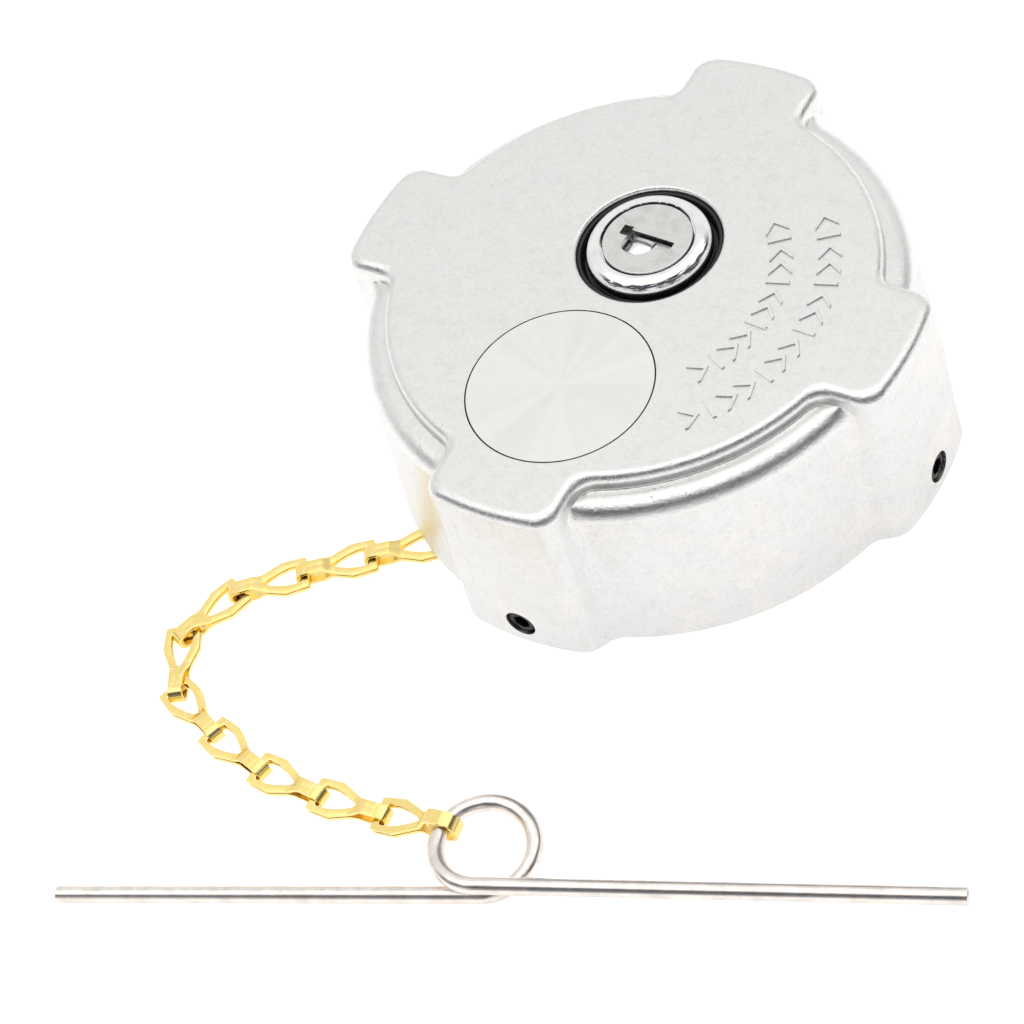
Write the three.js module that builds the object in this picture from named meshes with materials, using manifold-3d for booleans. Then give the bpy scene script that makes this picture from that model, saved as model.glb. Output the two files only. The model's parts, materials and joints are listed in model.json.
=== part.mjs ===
// Locking push-and-turn filler cap for a fuel tank, with its sash chain and anti-loss wire.
//
// Millimetres, +Z up. The origin is on the cap's axis, in the plane where the filler neck's lip meets the
// gasket. The cap's four lugs point along +X, +Y, -X and -Y. The chain and the wire lie on a table, which is
// tilted a little against the cap, because the cap stands on two lugs and its chain.

import * as THREE from 'three';
import Module from 'manifold-3d';
import { mergeVertices } from 'three/addons/utils/BufferGeometryUtils.js';

const wasm = await Module();
wasm.setup();

// ---- Driving dimensions ----
const GAP = 0.3; // clearance between neighbouring pieces

const CAP_HEIGHT = 39; // rim to top face
const SEAT_TO_RIM = 14; // how far the skirt reaches down past the neck's lip
const PUSH_TRAVEL = 1.5; // how far the shell is pushed down to engage the clutch

const TOP_FACE_R = 44.9; // flat part of the top face
const TOP_ROUNDING = 1.8;
const LEDGE_DROP = 3.4; // ledge below the top face
const LEDGE_R = 47.9;
const SHOULDER_R = 4.1;
const SKIRT_R_BOTTOM = 53.9;
const LUG_END_R_TOP = 57.2;
const LUG_END_R_BOTTOM = 58;
const LUG_HALF_WIDTH_TOP = 13.4;
const LUG_HALF_WIDTH_BOTTOM = 14.8;
const LUG_EDGE_ROUNDING = 2.1;
const LUG_CORNER_R = 3.6;
const LUG_ROOT_FILLET = 3;
const LUG_COUNT = 4;

const PLATE = 4.5; // thickness of the shell's top plate
const CAVITY_R = 49.3;

const DISC_R = 17.5; // turned cover disc
const DISC_Y = -27;
const DISC_DEPTH = 3;

const LOCK_Y = 8.2; // lock axis
const LOCK_RECESS_R = 13.85;
const LOCK_RECESS_DEPTH = 3.5;
const BEZEL_R = 12.1;
const PLUG_FACE_R = 8.6;
const PLUG_BODY_R = 6.5;
const PLUG_PROUD = 1.5; // plug face above the top face
const BARREL_R = 9.6;
const SLOT_LENGTH = 11;
const SLOT_WIDTH = 1.7;
const SLOT_TILT = THREE.MathUtils.degToRad(-3.5);

const SCREW_R = 2.9; // M6 set screws
const SCREW_DOG_R = 1.5;
const SCREW_HEIGHT = 5.7; // above the rim

const INNER_R = 48.4; // inner cap
const BORE_R = 44;
const THREAD_DEPTH = 1.8;
const GASKET = 3;
const FLOOR = 3;
const CLUTCH_R = 34;
const CLUTCH_WALL = 3.5;
const CLUTCH_HEIGHT = 3.9;
const CLUTCH_SLOTS = 12;
const BOLT_WIDTH = 5.6;
const BOLT_HEIGHT = 2.6;

const STRIP = 0.7; // chain strip thickness
const PITCH = 14.1; // hinge bar to hinge bar
const BAR_HALF = 0.6;
const LINK_HALF_WIDTH = 3.4; // at the hinge bar
const NECK_HALF_WIDTH = 1.4;
const EYE_R = 1.15; // inner radius of a link's folded neck
const EYE_FORWARD = 0.05; // the neck's centre, beyond the next hinge bar
const END_EYE_R = 2.4; // the last link's neck holds the wire
const WIRE_R = 1.6;
const LOOP_R = 8.85;
const WIRE_LEFT = 83;
const WIRE_RIGHT = 86.5;

// ---- Levels and places worked out from them ----
const RIM_Z = -SEAT_TO_RIM;
const TOP_Z = CAP_HEIGHT - SEAT_TO_RIM;
const CEILING_Z = TOP_Z - PLATE;
const LEDGE_Z = TOP_Z - LEDGE_DROP;
const SHOULDER_Z = LEDGE_Z - SHOULDER_R;
const SHOULDER_OUT_R = LEDGE_R + SHOULDER_R;
const FLOOR_TOP_Z = GASKET + FLOOR;
const INNER_TOP_Z = FLOOR_TOP_Z + 2;
const SCREW_Z = RIM_Z + SCREW_HEIGHT;
const RECESS_Z = TOP_Z - LOCK_RECESS_DEPTH;
const BOSS_Z = CEILING_Z - 1.7;
const NUT_Z = 15.5;
const CLUTCH_TOP_Z = FLOOR_TOP_Z + CLUTCH_HEIGHT;
const BOLT_Z = CLUTCH_TOP_Z + GAP;
const BOLT_INNER_Y = LOCK_Y + 7.5;
const BOLT_OUTER_Y = CLUTCH_R - 1;
const CAM_LOBE = 10.8;
const WASHER_Z = INNER_TOP_Z + GAP;
const SPRING_R = 42;
const VENT = new THREE.Vector2(15, -8);

const root = new THREE.Group();

// ---- Materials ----
const metal = (color, roughness) => new THREE.MeshStandardMaterial({ color, roughness, metalness: 1 });
const plastic = (color, roughness) => new THREE.MeshStandardMaterial({ color, roughness, metalness: 0 });
const MATERIAL = {
  castAluminium: () => metal(0xe6e4e1, 0.38),
  turnedAluminium: () => metal(0xe9e8e6, 0.25),
  chrome: () => metal(0xf2f2f4, 0.06),
  satinChrome: () => metal(0xd5d5d3, 0.3),
  zincSteel: () => metal(0xb9bcbf, 0.35),
  springSteel: () => metal(0x8d8f93, 0.35),
  stainless: () => metal(0xcfc6bf, 0.2),
  blackSteel: () => metal(0x1b1b1d, 0.45),
  brass: () => metal(0xffd774, 0.16),
  rubber: () => plastic(0x101012, 0.8),
  acetal: () => plastic(0xe8e6df, 0.5),
};

// ---- Geometry helpers ----
const Z_AXIS = new THREE.Vector3(0, 0, 1);

function add(parent, name, geometry, material) {
  const mesh = new THREE.Mesh(geometry, material);
  mesh.name = name;
  parent.add(mesh);
  return mesh;
}

function toManifold(geometry) {
  const bare = geometry.clone();
  bare.deleteAttribute('normal');
  bare.deleteAttribute('uv');
  const merged = mergeVertices(bare, 1e-4);
  return new wasm.Manifold(new wasm.Mesh({
    numProp: 3,
    vertProperties: new Float32Array(merged.attributes.position.array),
    triVerts: new Uint32Array(merged.index.array),
  }));
}

function fromManifold(solid) {
  const mesh = solid.getMesh();
  const geometry = new THREE.BufferGeometry();
  geometry.setAttribute('position', new THREE.BufferAttribute(new Float32Array(mesh.vertProperties), 3));
  geometry.setIndex(new THREE.BufferAttribute(new Uint32Array(mesh.triVerts), 1));
  geometry.computeVertexNormals();
  return geometry;
}

function combine(base, { plus = [], minus = [] }) {
  let solid = toManifold(base);
  for (const extra of plus) solid = solid.add(toManifold(extra));
  for (const tool of minus) solid = solid.subtract(toManifold(tool));
  return fromManifold(solid);
}

// A solid turned about Z from a closed or axis-to-axis profile of [radius, height] pairs, listed from the
// bottom axis point outward and up.
function turned(profile, segments = 48) {
  const points = profile.map(([r, z]) => new THREE.Vector2(r, z));
  const geometry = new THREE.LatheGeometry(points, segments);
  geometry.rotateX(Math.PI / 2);
  return geometry;
}

function ring(innerR, outerR, z0, z1, segments = 36) {
  return turned([[innerR, z0], [outerR, z0], [outerR, z1], [innerR, z1], [innerR, z0]], segments);
}

function rod(radius, z0, z1, segments = 32) {
  return turned([[0, z0], [radius, z0], [radius, z1], [0, z1]], segments);
}

function box(x0, x1, y0, y1, z0, z1) {
  const geometry = new THREE.BoxGeometry(x1 - x0, y1 - y0, z1 - z0);
  geometry.translate((x0 + x1) / 2, (y0 + y1) / 2, (z0 + z1) / 2);
  return geometry;
}

function helix(radius, z0, z1, turns, wireR, stepsPerTurn, sides) {
  const path = new THREE.CatmullRomCurve3(
    Array.from({ length: Math.ceil(turns * stepsPerTurn) + 1 }, (_, i) => {
      const share = i / Math.ceil(turns * stepsPerTurn);
      const angle = share * turns * 2 * Math.PI;
      return new THREE.Vector3(radius * Math.cos(angle), radius * Math.sin(angle), z0 + share * (z1 - z0));
    }),
  );
  return swept(path, wireR, Math.ceil(turns * stepsPerTurn), sides);
}

function swept(path, radius, steps, sides) {
  const section = new THREE.Shape(
    Array.from({ length: sides }, (_, i) => new THREE.Vector2(
      radius * Math.cos((i / sides) * 2 * Math.PI),
      radius * Math.sin((i / sides) * 2 * Math.PI),
    )),
  );
  return new THREE.ExtrudeGeometry(section, { steps, extrudePath: path, bevelEnabled: false });
}

// ---- Outer shell: its outline at a height, as a radius for each direction ----
const drop = (z) => (TOP_Z - z) / CAP_HEIGHT;

function edgeInset(z, rounding) {
  const above = z - (TOP_Z - rounding);
  return above > 0 ? rounding - Math.sqrt(Math.max(rounding ** 2 - above ** 2, 0)) : 0;
}

function roundBodyRadius(z) {
  if (z > LEDGE_Z) {
    return TOP_FACE_R + TOP_ROUNDING - edgeInset(z, TOP_ROUNDING);
  }
  if (z > SHOULDER_Z) return LEDGE_R + Math.sqrt(SHOULDER_R ** 2 - (z - SHOULDER_Z) ** 2);
  return THREE.MathUtils.mapLinear(z, SHOULDER_Z, RIM_Z, SHOULDER_OUT_R, SKIRT_R_BOTTOM);
}

function insideDistance(r, angle, bodyR, endR, halfWidth) {
  const quarter = (2 * Math.PI) / LUG_COUNT;
  const offAxis = angle - Math.round(angle / quarter) * quarter;
  const alongEnd = r - (endR - LUG_CORNER_R);
  const across = Math.abs(r * Math.sin(offAxis)) - (halfWidth - LUG_CORNER_R);
  const lug = Math.min(Math.max(alongEnd, across), 0)
    + Math.hypot(Math.max(alongEnd, 0), Math.max(across, 0)) - LUG_CORNER_R;
  const round = r - bodyR;
  const overlap = Math.max(LUG_ROOT_FILLET - Math.abs(lug - round), 0) / LUG_ROOT_FILLET;
  return Math.min(lug, round) - overlap ** 2 * LUG_ROOT_FILLET / 4;
}

function outlineRadius(angle, z) {
  const bodyR = roundBodyRadius(z);
  const inset = edgeInset(z, LUG_EDGE_ROUNDING);
  const endR = THREE.MathUtils.lerp(LUG_END_R_TOP, LUG_END_R_BOTTOM, drop(z)) - inset;
  const halfWidth = THREE.MathUtils.lerp(LUG_HALF_WIDTH_TOP, LUG_HALF_WIDTH_BOTTOM, drop(z)) - inset;
  let inside = TOP_FACE_R - LUG_ROOT_FILLET;
  let outside = LUG_END_R_BOTTOM + LUG_ROOT_FILLET;
  for (let i = 0; i < 30; i += 1) {
    const middle = (inside + outside) / 2;
    if (insideDistance(middle, angle, bodyR, endR, halfWidth) < 0) inside = middle;
    else outside = middle;
  }
  return inside;
}

function shellBlank() {
  const halfQuarter = [0, 6, 10.5, 12.8, 14.4, 16, 18.5, 22, 29, 37];
  const degrees = [];
  for (let lug = 0; lug < LUG_COUNT; lug += 1) {
    const axis = (360 / LUG_COUNT) * lug;
    degrees.push(axis, ...halfQuarter.slice(1).map((d) => axis + d), axis + 45);
    degrees.push(...halfQuarter.slice(1).reverse().map((d) => axis + 90 - d));
  }
  const levels = [
    RIM_Z, SHOULDER_Z, SHOULDER_Z + 2.4, LEDGE_Z, LEDGE_Z + 0.05,
    TOP_Z - TOP_ROUNDING, TOP_Z - 0.6, TOP_Z,
  ];
  const count = degrees.length;
  const positions = [0, 0, RIM_Z];
  for (const z of levels) {
    for (const d of degrees) {
      const angle = THREE.MathUtils.degToRad(d);
      const r = outlineRadius(angle, z);
      positions.push(r * Math.cos(angle), r * Math.sin(angle), z);
    }
  }
  positions.push(0, 0, TOP_Z);
  const index = [];
  const vertex = (level, i) => 1 + level * count + (i % count);
  const last = positions.length / 3 - 1;
  for (let i = 0; i < count; i += 1) {
    index.push(0, vertex(0, i + 1), vertex(0, i));
    for (let level = 0; level + 1 < levels.length; level += 1) {
      index.push(vertex(level, i), vertex(level, i + 1), vertex(level + 1, i + 1));
      index.push(vertex(level, i), vertex(level + 1, i + 1), vertex(level + 1, i));
    }
    index.push(last, vertex(levels.length - 1, i), vertex(levels.length - 1, i + 1));
  }
  const geometry = new THREE.BufferGeometry();
  geometry.setAttribute('position', new THREE.Float32BufferAttribute(positions, 3));
  geometry.setIndex(index);
  return geometry;
}

function screwHole(turn) {
  const geometry = rod(SCREW_R + GAP, CAVITY_R - 4, LUG_END_R_BOTTOM + 4, 16);
  geometry.rotateY(Math.PI / 2);
  geometry.rotateZ(turn);
  geometry.translate(0, 0, SCREW_Z);
  return geometry;
}

function outerShell() {
  const cavity = turned([
    [0, RIM_Z - 1], [CAVITY_R + 0.3, RIM_Z - 1], [CAVITY_R, CEILING_Z - 5], [CAVITY_R - 5, CEILING_Z],
    [0, CEILING_Z],
  ], 48);
  const boss = rod(LOCK_RECESS_R + 2.5, BOSS_Z, CEILING_Z + 1, 36);
  const recess = rod(LOCK_RECESS_R, RECESS_Z, TOP_Z + 1, 36);
  const barrelHole = rod(BARREL_R + GAP, BOSS_Z - 1, TOP_Z, 36);
  for (const feature of [boss, recess, barrelHole]) feature.translate(0, LOCK_Y, 0);
  const discBore = rod(DISC_R + GAP, TOP_Z - DISC_DEPTH, TOP_Z + 1, 36);
  discBore.translate(0, DISC_Y, 0);
  const hollow = combine(shellBlank(), { minus: [cavity] });
  const quarterTurns = Array.from({ length: LUG_COUNT }, (_, i) => (i * 2 * Math.PI) / LUG_COUNT);
  return combine(hollow, {
    plus: [boss],
    minus: [recess, barrelHole, discBore, ...quarterTurns.map(screwHole)],
  });
}

function coverDisc() {
  const chamfer = 0.25;
  const geometry = turned([
    [0, TOP_Z - DISC_DEPTH + GAP], [DISC_R, TOP_Z - DISC_DEPTH + GAP], [DISC_R, TOP_Z - chamfer],
    [DISC_R - chamfer, TOP_Z], [0, TOP_Z],
  ], 36);
  geometry.translate(0, DISC_Y, 0);
  return geometry;
}

function setScrew() {
  const head = LUG_END_R_BOTTOM - 0.5;
  const socketDepth = 2.8;
  const body = turned([
    [0, INNER_R - 1.7], [SCREW_DOG_R, INNER_R - 1.7], [SCREW_DOG_R, INNER_R + 1], [SCREW_R, INNER_R + 1.8],
    [SCREW_R, head - 0.3], [SCREW_R - 0.3, head], [0, head],
  ], 16);
  const socket = rod(1.75, head - socketDepth, head + 1, 6);
  return combine(body, { minus: [socket] }).rotateY(Math.PI / 2);
}

// ---- Lock ----
// A shallow cup that lines the recess round the bezel.
function lockSeal() {
  const outerR = LOCK_RECESS_R - GAP;
  const floorTop = RECESS_Z + 0.75;
  const lipTop = TOP_Z - 0.75;
  return turned([
    [BARREL_R + GAP, RECESS_Z + 0.05], [outerR, RECESS_Z + 0.05], [outerR, lipTop], [outerR - 0.9, lipTop],
    [outerR - 0.9, floorTop], [BARREL_R + GAP, floorTop], [BARREL_R + GAP, RECESS_Z + 0.05],
  ], 36);
}

function lockHousing() {
  const bezelTop = TOP_Z + PLUG_PROUD;
  const bezelFoot = RECESS_Z + 1;
  const rounding = Array.from({ length: 5 }, (_, i) => {
    const angle = (i / 4) * (Math.PI / 2);
    return [BEZEL_R - 2.4 + 2.4 * Math.cos(angle), bezelTop - 2.6 + 2.6 * Math.sin(angle)];
  });
  const profile = [
    [PLUG_BODY_R + GAP, NUT_Z - 1], [BARREL_R, NUT_Z - 1], [BARREL_R, bezelFoot], [BEZEL_R, bezelFoot],
    ...rounding, [PLUG_FACE_R + GAP, bezelTop - 0.1], [PLUG_FACE_R + GAP, TOP_Z - 1.4],
    [PLUG_BODY_R + GAP, TOP_Z - 1.4], [PLUG_BODY_R + GAP, NUT_Z - 1],
  ];
  return turned(profile, 36);
}

function lockNut() {
  const hexR = 13.4;
  const nut = rod(hexR, NUT_Z, BOSS_Z - GAP, 6);
  return combine(nut, { minus: [rod(BARREL_R + GAP, NUT_Z - 1, BOSS_Z + 1, 36)] });
}

// The plug is drawn about its own axis, with the key slot along X and the D-shaped opening on the -Y side.
function lockPlug() {
  const faceZ = TOP_Z + PLUG_PROUD;
  const body = turned([
    [0, BOLT_Z - GAP], [3, BOLT_Z - GAP], [3, NUT_Z - 1.3], [PLUG_BODY_R, NUT_Z - 1.3],
    [PLUG_BODY_R, TOP_Z - 1.1], [PLUG_FACE_R, TOP_Z - 1.1], [PLUG_FACE_R, faceZ - 0.2],
    [PLUG_FACE_R - 0.2, faceZ], [0, faceZ],
  ], 36);
  const slot = box(-SLOT_LENGTH / 2, SLOT_LENGTH / 2, -SLOT_WIDTH / 2, SLOT_WIDTH / 2, NUT_Z + 1, faceZ + 1);
  const window = rod(3.7, faceZ - 7, faceZ + 1, 24);
  window.scale(1, 0.95, 1);
  window.translate(-1.3, -SLOT_WIDTH / 2, 0);
  const belowSlot = box(-6, 6, -6, 0, faceZ - 8, faceZ + 2);
  const halfWindow = fromManifold(toManifold(window).intersect(toManifold(belowSlot)));
  return combine(body, { minus: [slot, halfWindow] }).rotateZ(SLOT_TILT);
}

const SHUTTER = { x: -1.3, y: -SLOT_WIDTH / 2 - 2.5, z: TOP_Z + PLUG_PROUD - 1.6, thick: 0.6 };

function keywayShutter() {
  const flap = box(-2.1, 2.1, 0, 3.4, -SHUTTER.thick / 2, SHUTTER.thick / 2);
  flap.translate(SHUTTER.x, SHUTTER.y, SHUTTER.z);
  return flap.rotateZ(SLOT_TILT);
}

function lockCam() {
  const hub = rod(5.2, BOLT_Z, BOLT_Z + BOLT_HEIGHT, 24);
  const lobe = box(-CAM_LOBE, -3, -1.6, 1.6, BOLT_Z, BOLT_Z + BOLT_HEIGHT);
  const tailHole = rod(3 + GAP, BOLT_Z - 1, BOLT_Z + BOLT_HEIGHT + 1, 24);
  return combine(hub, { plus: [lobe], minus: [tailHole] });
}

function driveBolt() {
  return box(-BOLT_WIDTH / 2, BOLT_WIDTH / 2, BOLT_INNER_Y, BOLT_OUTER_Y, BOLT_Z, BOLT_Z + BOLT_HEIGHT);
}

function boltGuide() {
  const foot = BOLT_Z - 0.6;
  const block = box(-6.5, 6.5, 25.4, 31, foot, CEILING_Z - GAP);
  const channel = box(
    -BOLT_WIDTH / 2 - GAP, BOLT_WIDTH / 2 + GAP, 24, 32, foot - 1, BOLT_Z + BOLT_HEIGHT + GAP,
  );
  return combine(block, { minus: [channel] });
}

// ---- Inner cap and what it carries ----
function threadRidge() {
  const turns = 1.4;
  const steps = 32;
  const lead = 4;
  const halfFoot = 1.8;
  const halfCrest = 0.5;
  const positions = [];
  const index = [];
  for (let i = 0; i <= steps; i += 1) {
    const angle = (i / steps) * turns * 2 * Math.PI;
    const z = RIM_Z + 4.2 + (i / steps) * turns * lead;
    const section = [
      [BORE_R + 1, -halfFoot], [BORE_R + 1, halfFoot],
      [BORE_R - THREAD_DEPTH, halfCrest], [BORE_R - THREAD_DEPTH, -halfCrest],
    ];
    for (const [r, dz] of section) positions.push(r * Math.cos(angle), r * Math.sin(angle), z + dz);
  }
  const corner = (i, k) => i * 4 + (k % 4);
  for (let i = 0; i < steps; i += 1) {
    for (let k = 0; k < 4; k += 1) {
      index.push(corner(i, k), corner(i + 1, k + 1), corner(i, k + 1));
      index.push(corner(i, k), corner(i + 1, k), corner(i + 1, k + 1));
    }
  }
  index.push(0, 1, 2, 0, 2, 3);
  const end = steps * 4;
  index.push(end, end + 2, end + 1, end, end + 3, end + 2);
  const geometry = new THREE.BufferGeometry();
  geometry.setAttribute('position', new THREE.Float32BufferAttribute(positions, 3));
  geometry.setIndex(index);
  return geometry;
}

function innerCap() {
  const dogTrackR = INNER_R - 2;
  const dogTrackZ = SCREW_Z + SCREW_DOG_R + GAP;
  const foot = RIM_Z + 1.5;
  const cup = turned([
    [0, GASKET], [BORE_R, GASKET], [BORE_R, foot], [dogTrackR, foot], [dogTrackR, dogTrackZ],
    [INNER_R, dogTrackZ], [INNER_R, INNER_TOP_Z], [40, INNER_TOP_Z], [40, FLOOR_TOP_Z],
    [CLUTCH_R + CLUTCH_WALL, FLOOR_TOP_Z], [CLUTCH_R + CLUTCH_WALL, CLUTCH_TOP_Z],
    [CLUTCH_R, CLUTCH_TOP_Z], [CLUTCH_R, FLOOR_TOP_Z], [0, FLOOR_TOP_Z],
  ], 48);
  const slots = Array.from({ length: CLUTCH_SLOTS }, (_, i) => {
    const slotHalf = BOLT_WIDTH / 2 + 0.7;
    const slot = box(-slotHalf, slotHalf, CLUTCH_R - 1, 39, FLOOR_TOP_Z + 0.2, CLUTCH_TOP_Z + 1);
    return slot.rotateZ((i / CLUTCH_SLOTS) * 2 * Math.PI);
  });
  const ventHole = rod(4 + GAP, 0, FLOOR_TOP_Z + 1, 16).translate(VENT.x, VENT.y, 0);
  const anchorHole = rod(ANCHOR_SHANK_R + GAP, 0, FLOOR_TOP_Z + 1, 16).translate(ANCHOR.x, ANCHOR.y, 0);
  const rivetHoles = rivetPlaces().map(([x, y]) => rod(1.6 + GAP, 0, FLOOR_TOP_Z + 1, 12).translate(x, y, 0));
  return combine(cup, { plus: [threadRidge()], minus: [...slots, ventHole, anchorHole, ...rivetHoles] });
}

const RETAINER_R = 29.5;
const RETAINER_Z = 0.8; // above the neck's lip
const BUTTON_R = 6; // a nine-sided button pressed down in the retainer's middle
const BUTTON_SIDES = 9;

function gasketRetainer() {
  const plate = turned([
    [0, RETAINER_Z], [RETAINER_R - 0.6, RETAINER_Z], [RETAINER_R, RETAINER_Z + 0.6], [RETAINER_R, GASKET - GAP],
    [0, GASKET - GAP],
  ], 36);
  const corners = Array.from({ length: BUTTON_SIDES }, (_, i) => {
    const angle = (2 * Math.PI * i) / BUTTON_SIDES;
    return new THREE.Vector2(BUTTON_R * Math.cos(angle), BUTTON_R * Math.sin(angle));
  });
  const button = new THREE.ExtrudeGeometry(new THREE.Shape(corners), { depth: GASKET / 2, bevelEnabled: false });
  const ventHole = rod(4 + GAP, -1, GASKET, 16).translate(VENT.x, VENT.y, 0);
  const anchorHole = rod(ANCHOR_SHANK_R + GAP, -1, GASKET, 16).translate(ANCHOR.x, ANCHOR.y, 0);
  const rivetHoles = rivetPlaces().map(([x, y]) => rod(1.6 + GAP, -1, GASKET, 12).translate(x, y, 0));
  return combine(plate, { plus: [button], minus: [ventHole, anchorHole, ...rivetHoles] });
}

function rivetPlaces() {
  return [60, 180, 300].map((d) => {
    const angle = THREE.MathUtils.degToRad(d);
    return [24 * Math.cos(angle), 24 * Math.sin(angle)];
  });
}

function rivet() {
  return turned([
    [0, RETAINER_Z - 1.5], [2, RETAINER_Z - 1.2], [3, RETAINER_Z - GAP], [1.6, RETAINER_Z - GAP],
    [1.6, FLOOR_TOP_Z + GAP], [3, FLOOR_TOP_Z + GAP],
    [2.2, FLOOR_TOP_Z + 1.2], [0, FLOOR_TOP_Z + 1.4],
  ], 16);
}

function ventBody() {
  const top = FLOOR_TOP_Z + 1.8;
  return turned([
    [1.4, -1.6], [4, -1.6], [4, FLOOR_TOP_Z + GAP], [5.5, FLOOR_TOP_Z + GAP], [5.5, top], [1.2, top],
    [1.2, top - 0.5], [2.5, top - 0.5], [2.5, -0.5], [1.4, -0.5], [1.4, -1.6],
  ], 20).translate(VENT.x, VENT.y, 0);
}

function ventBall() {
  return new THREE.SphereGeometry(2, 16, 10).rotateX(Math.PI / 2).translate(VENT.x, VENT.y, 1.2);
}

function ventSpring() {
  return helix(1.5, 3.75, FLOOR_TOP_Z + 0.75, 3, 0.3, 10, 5).translate(VENT.x, VENT.y, 0);
}

function returnSpring() {
  return helix(SPRING_R, WASHER_Z + 1.6 + 1.1, CEILING_Z - 1.1, 2.4, 0.8, 20, 5);
}

// ---- Chain: its table, its path and one link ----
// The table touches the bottom of the lugs at +X and +Y, and slopes down under the chain's side of the cap.
const CHAIN_HALF_THICK = EYE_R + STRIP;
const CROSSING = 50; // distance from the axis to where the cap stands, and to where the chain leaves it
const TABLE_TILT = Math.atan((2 * CHAIN_HALF_THICK + PUSH_TRAVEL + GAP) / (2 * CROSSING));
const table = new THREE.Group();
const tableTurn = new THREE.Quaternion().setFromAxisAngle(new THREE.Vector3(1, -1, 0).normalize(), TABLE_TILT);
const tableFoot = new THREE.Vector3(CROSSING / Math.SQRT2, CROSSING / Math.SQRT2, RIM_Z);
table.quaternion.copy(tableTurn);
table.position.copy(tableFoot).sub(new THREE.Vector3(tableFoot.x, tableFoot.y, 0).applyQuaternion(tableTurn));
root.add(table);

const toRow = (point) => point.clone().applyQuaternion(tableTurn).add(table.position);

const CHAIN_START = new THREE.Vector2(-29.5, -41.1); // hinge bar of the first link in the open
const HEADINGS = [211.8, 214.8, 216.1, 246.5, 297.5, 336.4, 343.7, 355.8, 362.1, 366];
const HIDDEN_LINKS = 2; // flat links between the swivel's link and the first link in the open
const END_LIFT = 2; // the last link climbs this much to the wire's loop

// Where the chain bends sideways, the next link's hinge bar backs away from the neck that holds it and slides
// along itself, because the bar's corners need room and the neck stays in the middle of the next link's hole.
function backOff(bend) {
  const angle = Math.abs(bend);
  return Math.max(0, NECK_HALF_WIDTH * Math.tan(angle) + BAR_HALF / Math.cos(angle) - BAR_HALF - GAP) + 0.05;
}

function direction2(radians) {
  return new THREE.Vector2(Math.cos(radians), Math.sin(radians));
}

// Flat part of the chain: a place and a heading on the table for each link.
function chainPath() {
  const inward = Math.atan2(CHAIN_START.y, CHAIN_START.x) + 2 * Math.PI;
  const links = [];
  const straight = PITCH - backOff(0);
  const firstBend = PITCH - backOff(THREE.MathUtils.degToRad(HEADINGS[0]) - inward);
  for (let i = HIDDEN_LINKS; i > 0; i -= 1) {
    const back = firstBend + (i - 1) * straight;
    links.push({ place: CHAIN_START.clone().addScaledVector(direction2(inward), -back), heading: inward });
  }
  const place = CHAIN_START.clone();
  HEADINGS.forEach((degrees, i) => {
    const heading = THREE.MathUtils.degToRad(degrees);
    links.push({ place: place.clone(), heading });
    const nextHeading = THREE.MathUtils.degToRad(HEADINGS[i + 1] ?? degrees);
    const bend = nextHeading - heading;
    place.addScaledVector(direction2(heading), PITCH - backOff(bend));
    place.addScaledVector(direction2(nextHeading + Math.PI / 2), -Math.sin(bend) * backOff(bend));
  });
  return links;
}

const PATH = chainPath();
const ANCHOR_SHANK_R = 2;
const ANCHOR_RING_R = 3;
const ANCHOR_RING_WIRE = 0.9;
const ANCHOR_PIVOT_Z = -7.3;

// The first link hangs from the swivel's ring down to the first flat link.
const firstFlat = toRow(new THREE.Vector3(PATH[0].place.x, PATH[0].place.y, CHAIN_HALF_THICK));
const hangDrop = ANCHOR_PIVOT_Z - firstFlat.z;
const hangRun = Math.sqrt((PITCH - 0.1) ** 2 - hangDrop ** 2);
const ANCHOR = new THREE.Vector3(
  firstFlat.x - hangRun * Math.cos(PATH[0].heading),
  firstFlat.y - hangRun * Math.sin(PATH[0].heading),
  ANCHOR_PIVOT_Z,
);

function smooth(x, from, to) {
  return THREE.MathUtils.smoothstep(x, from, to);
}

// Half the outline of one leaf of a link, from the hinge bar to the neck.
const LEAF_EDGE = [
  [-BAR_HALF, LINK_HALF_WIDTH - 0.2], [-BAR_HALF + 0.2, LINK_HALF_WIDTH], [4.4, LINK_HALF_WIDTH + 0.25],
  [9.6, NECK_HALF_WIDTH + 0.15], [11, NECK_HALF_WIDTH], [12.4, NECK_HALF_WIDTH], [PITCH, NECK_HALF_WIDTH],
];
const LEAF_HOLE = [[BAR_HALF, 2.6], [3.4, 2.5], [5, 1.95], [7, 1.1], [9, 0]];

function mirrored(half) {
  const lower = half.map(([x, y]) => new THREE.Vector2(x, -y));
  const upper = half.filter(([, y]) => y > 0).map(([x, y]) => new THREE.Vector2(x, y)).reverse();
  return [...lower, ...upper];
}

// One leaf lies close to the other at the hinge bar and rises to eyeR at the neck.
function leaf(eyeR, side) {
  const shape = new THREE.Shape(mirrored(LEAF_EDGE));
  shape.holes.push(new THREE.Path(mirrored(LEAF_HOLE)));
  const geometry = new THREE.ExtrudeGeometry(shape, { depth: STRIP, bevelEnabled: false });
  const position = geometry.attributes.position;
  const barLevel = 0.1;
  for (let i = 0; i < position.count; i += 1) {
    const rise = barLevel + (eyeR - barLevel) * smooth(position.getX(i), 6.4, 10.6);
    position.setZ(i, position.getZ(i) + rise);
  }
  if (side < 0) geometry.rotateX(Math.PI);
  return geometry;
}

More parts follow.
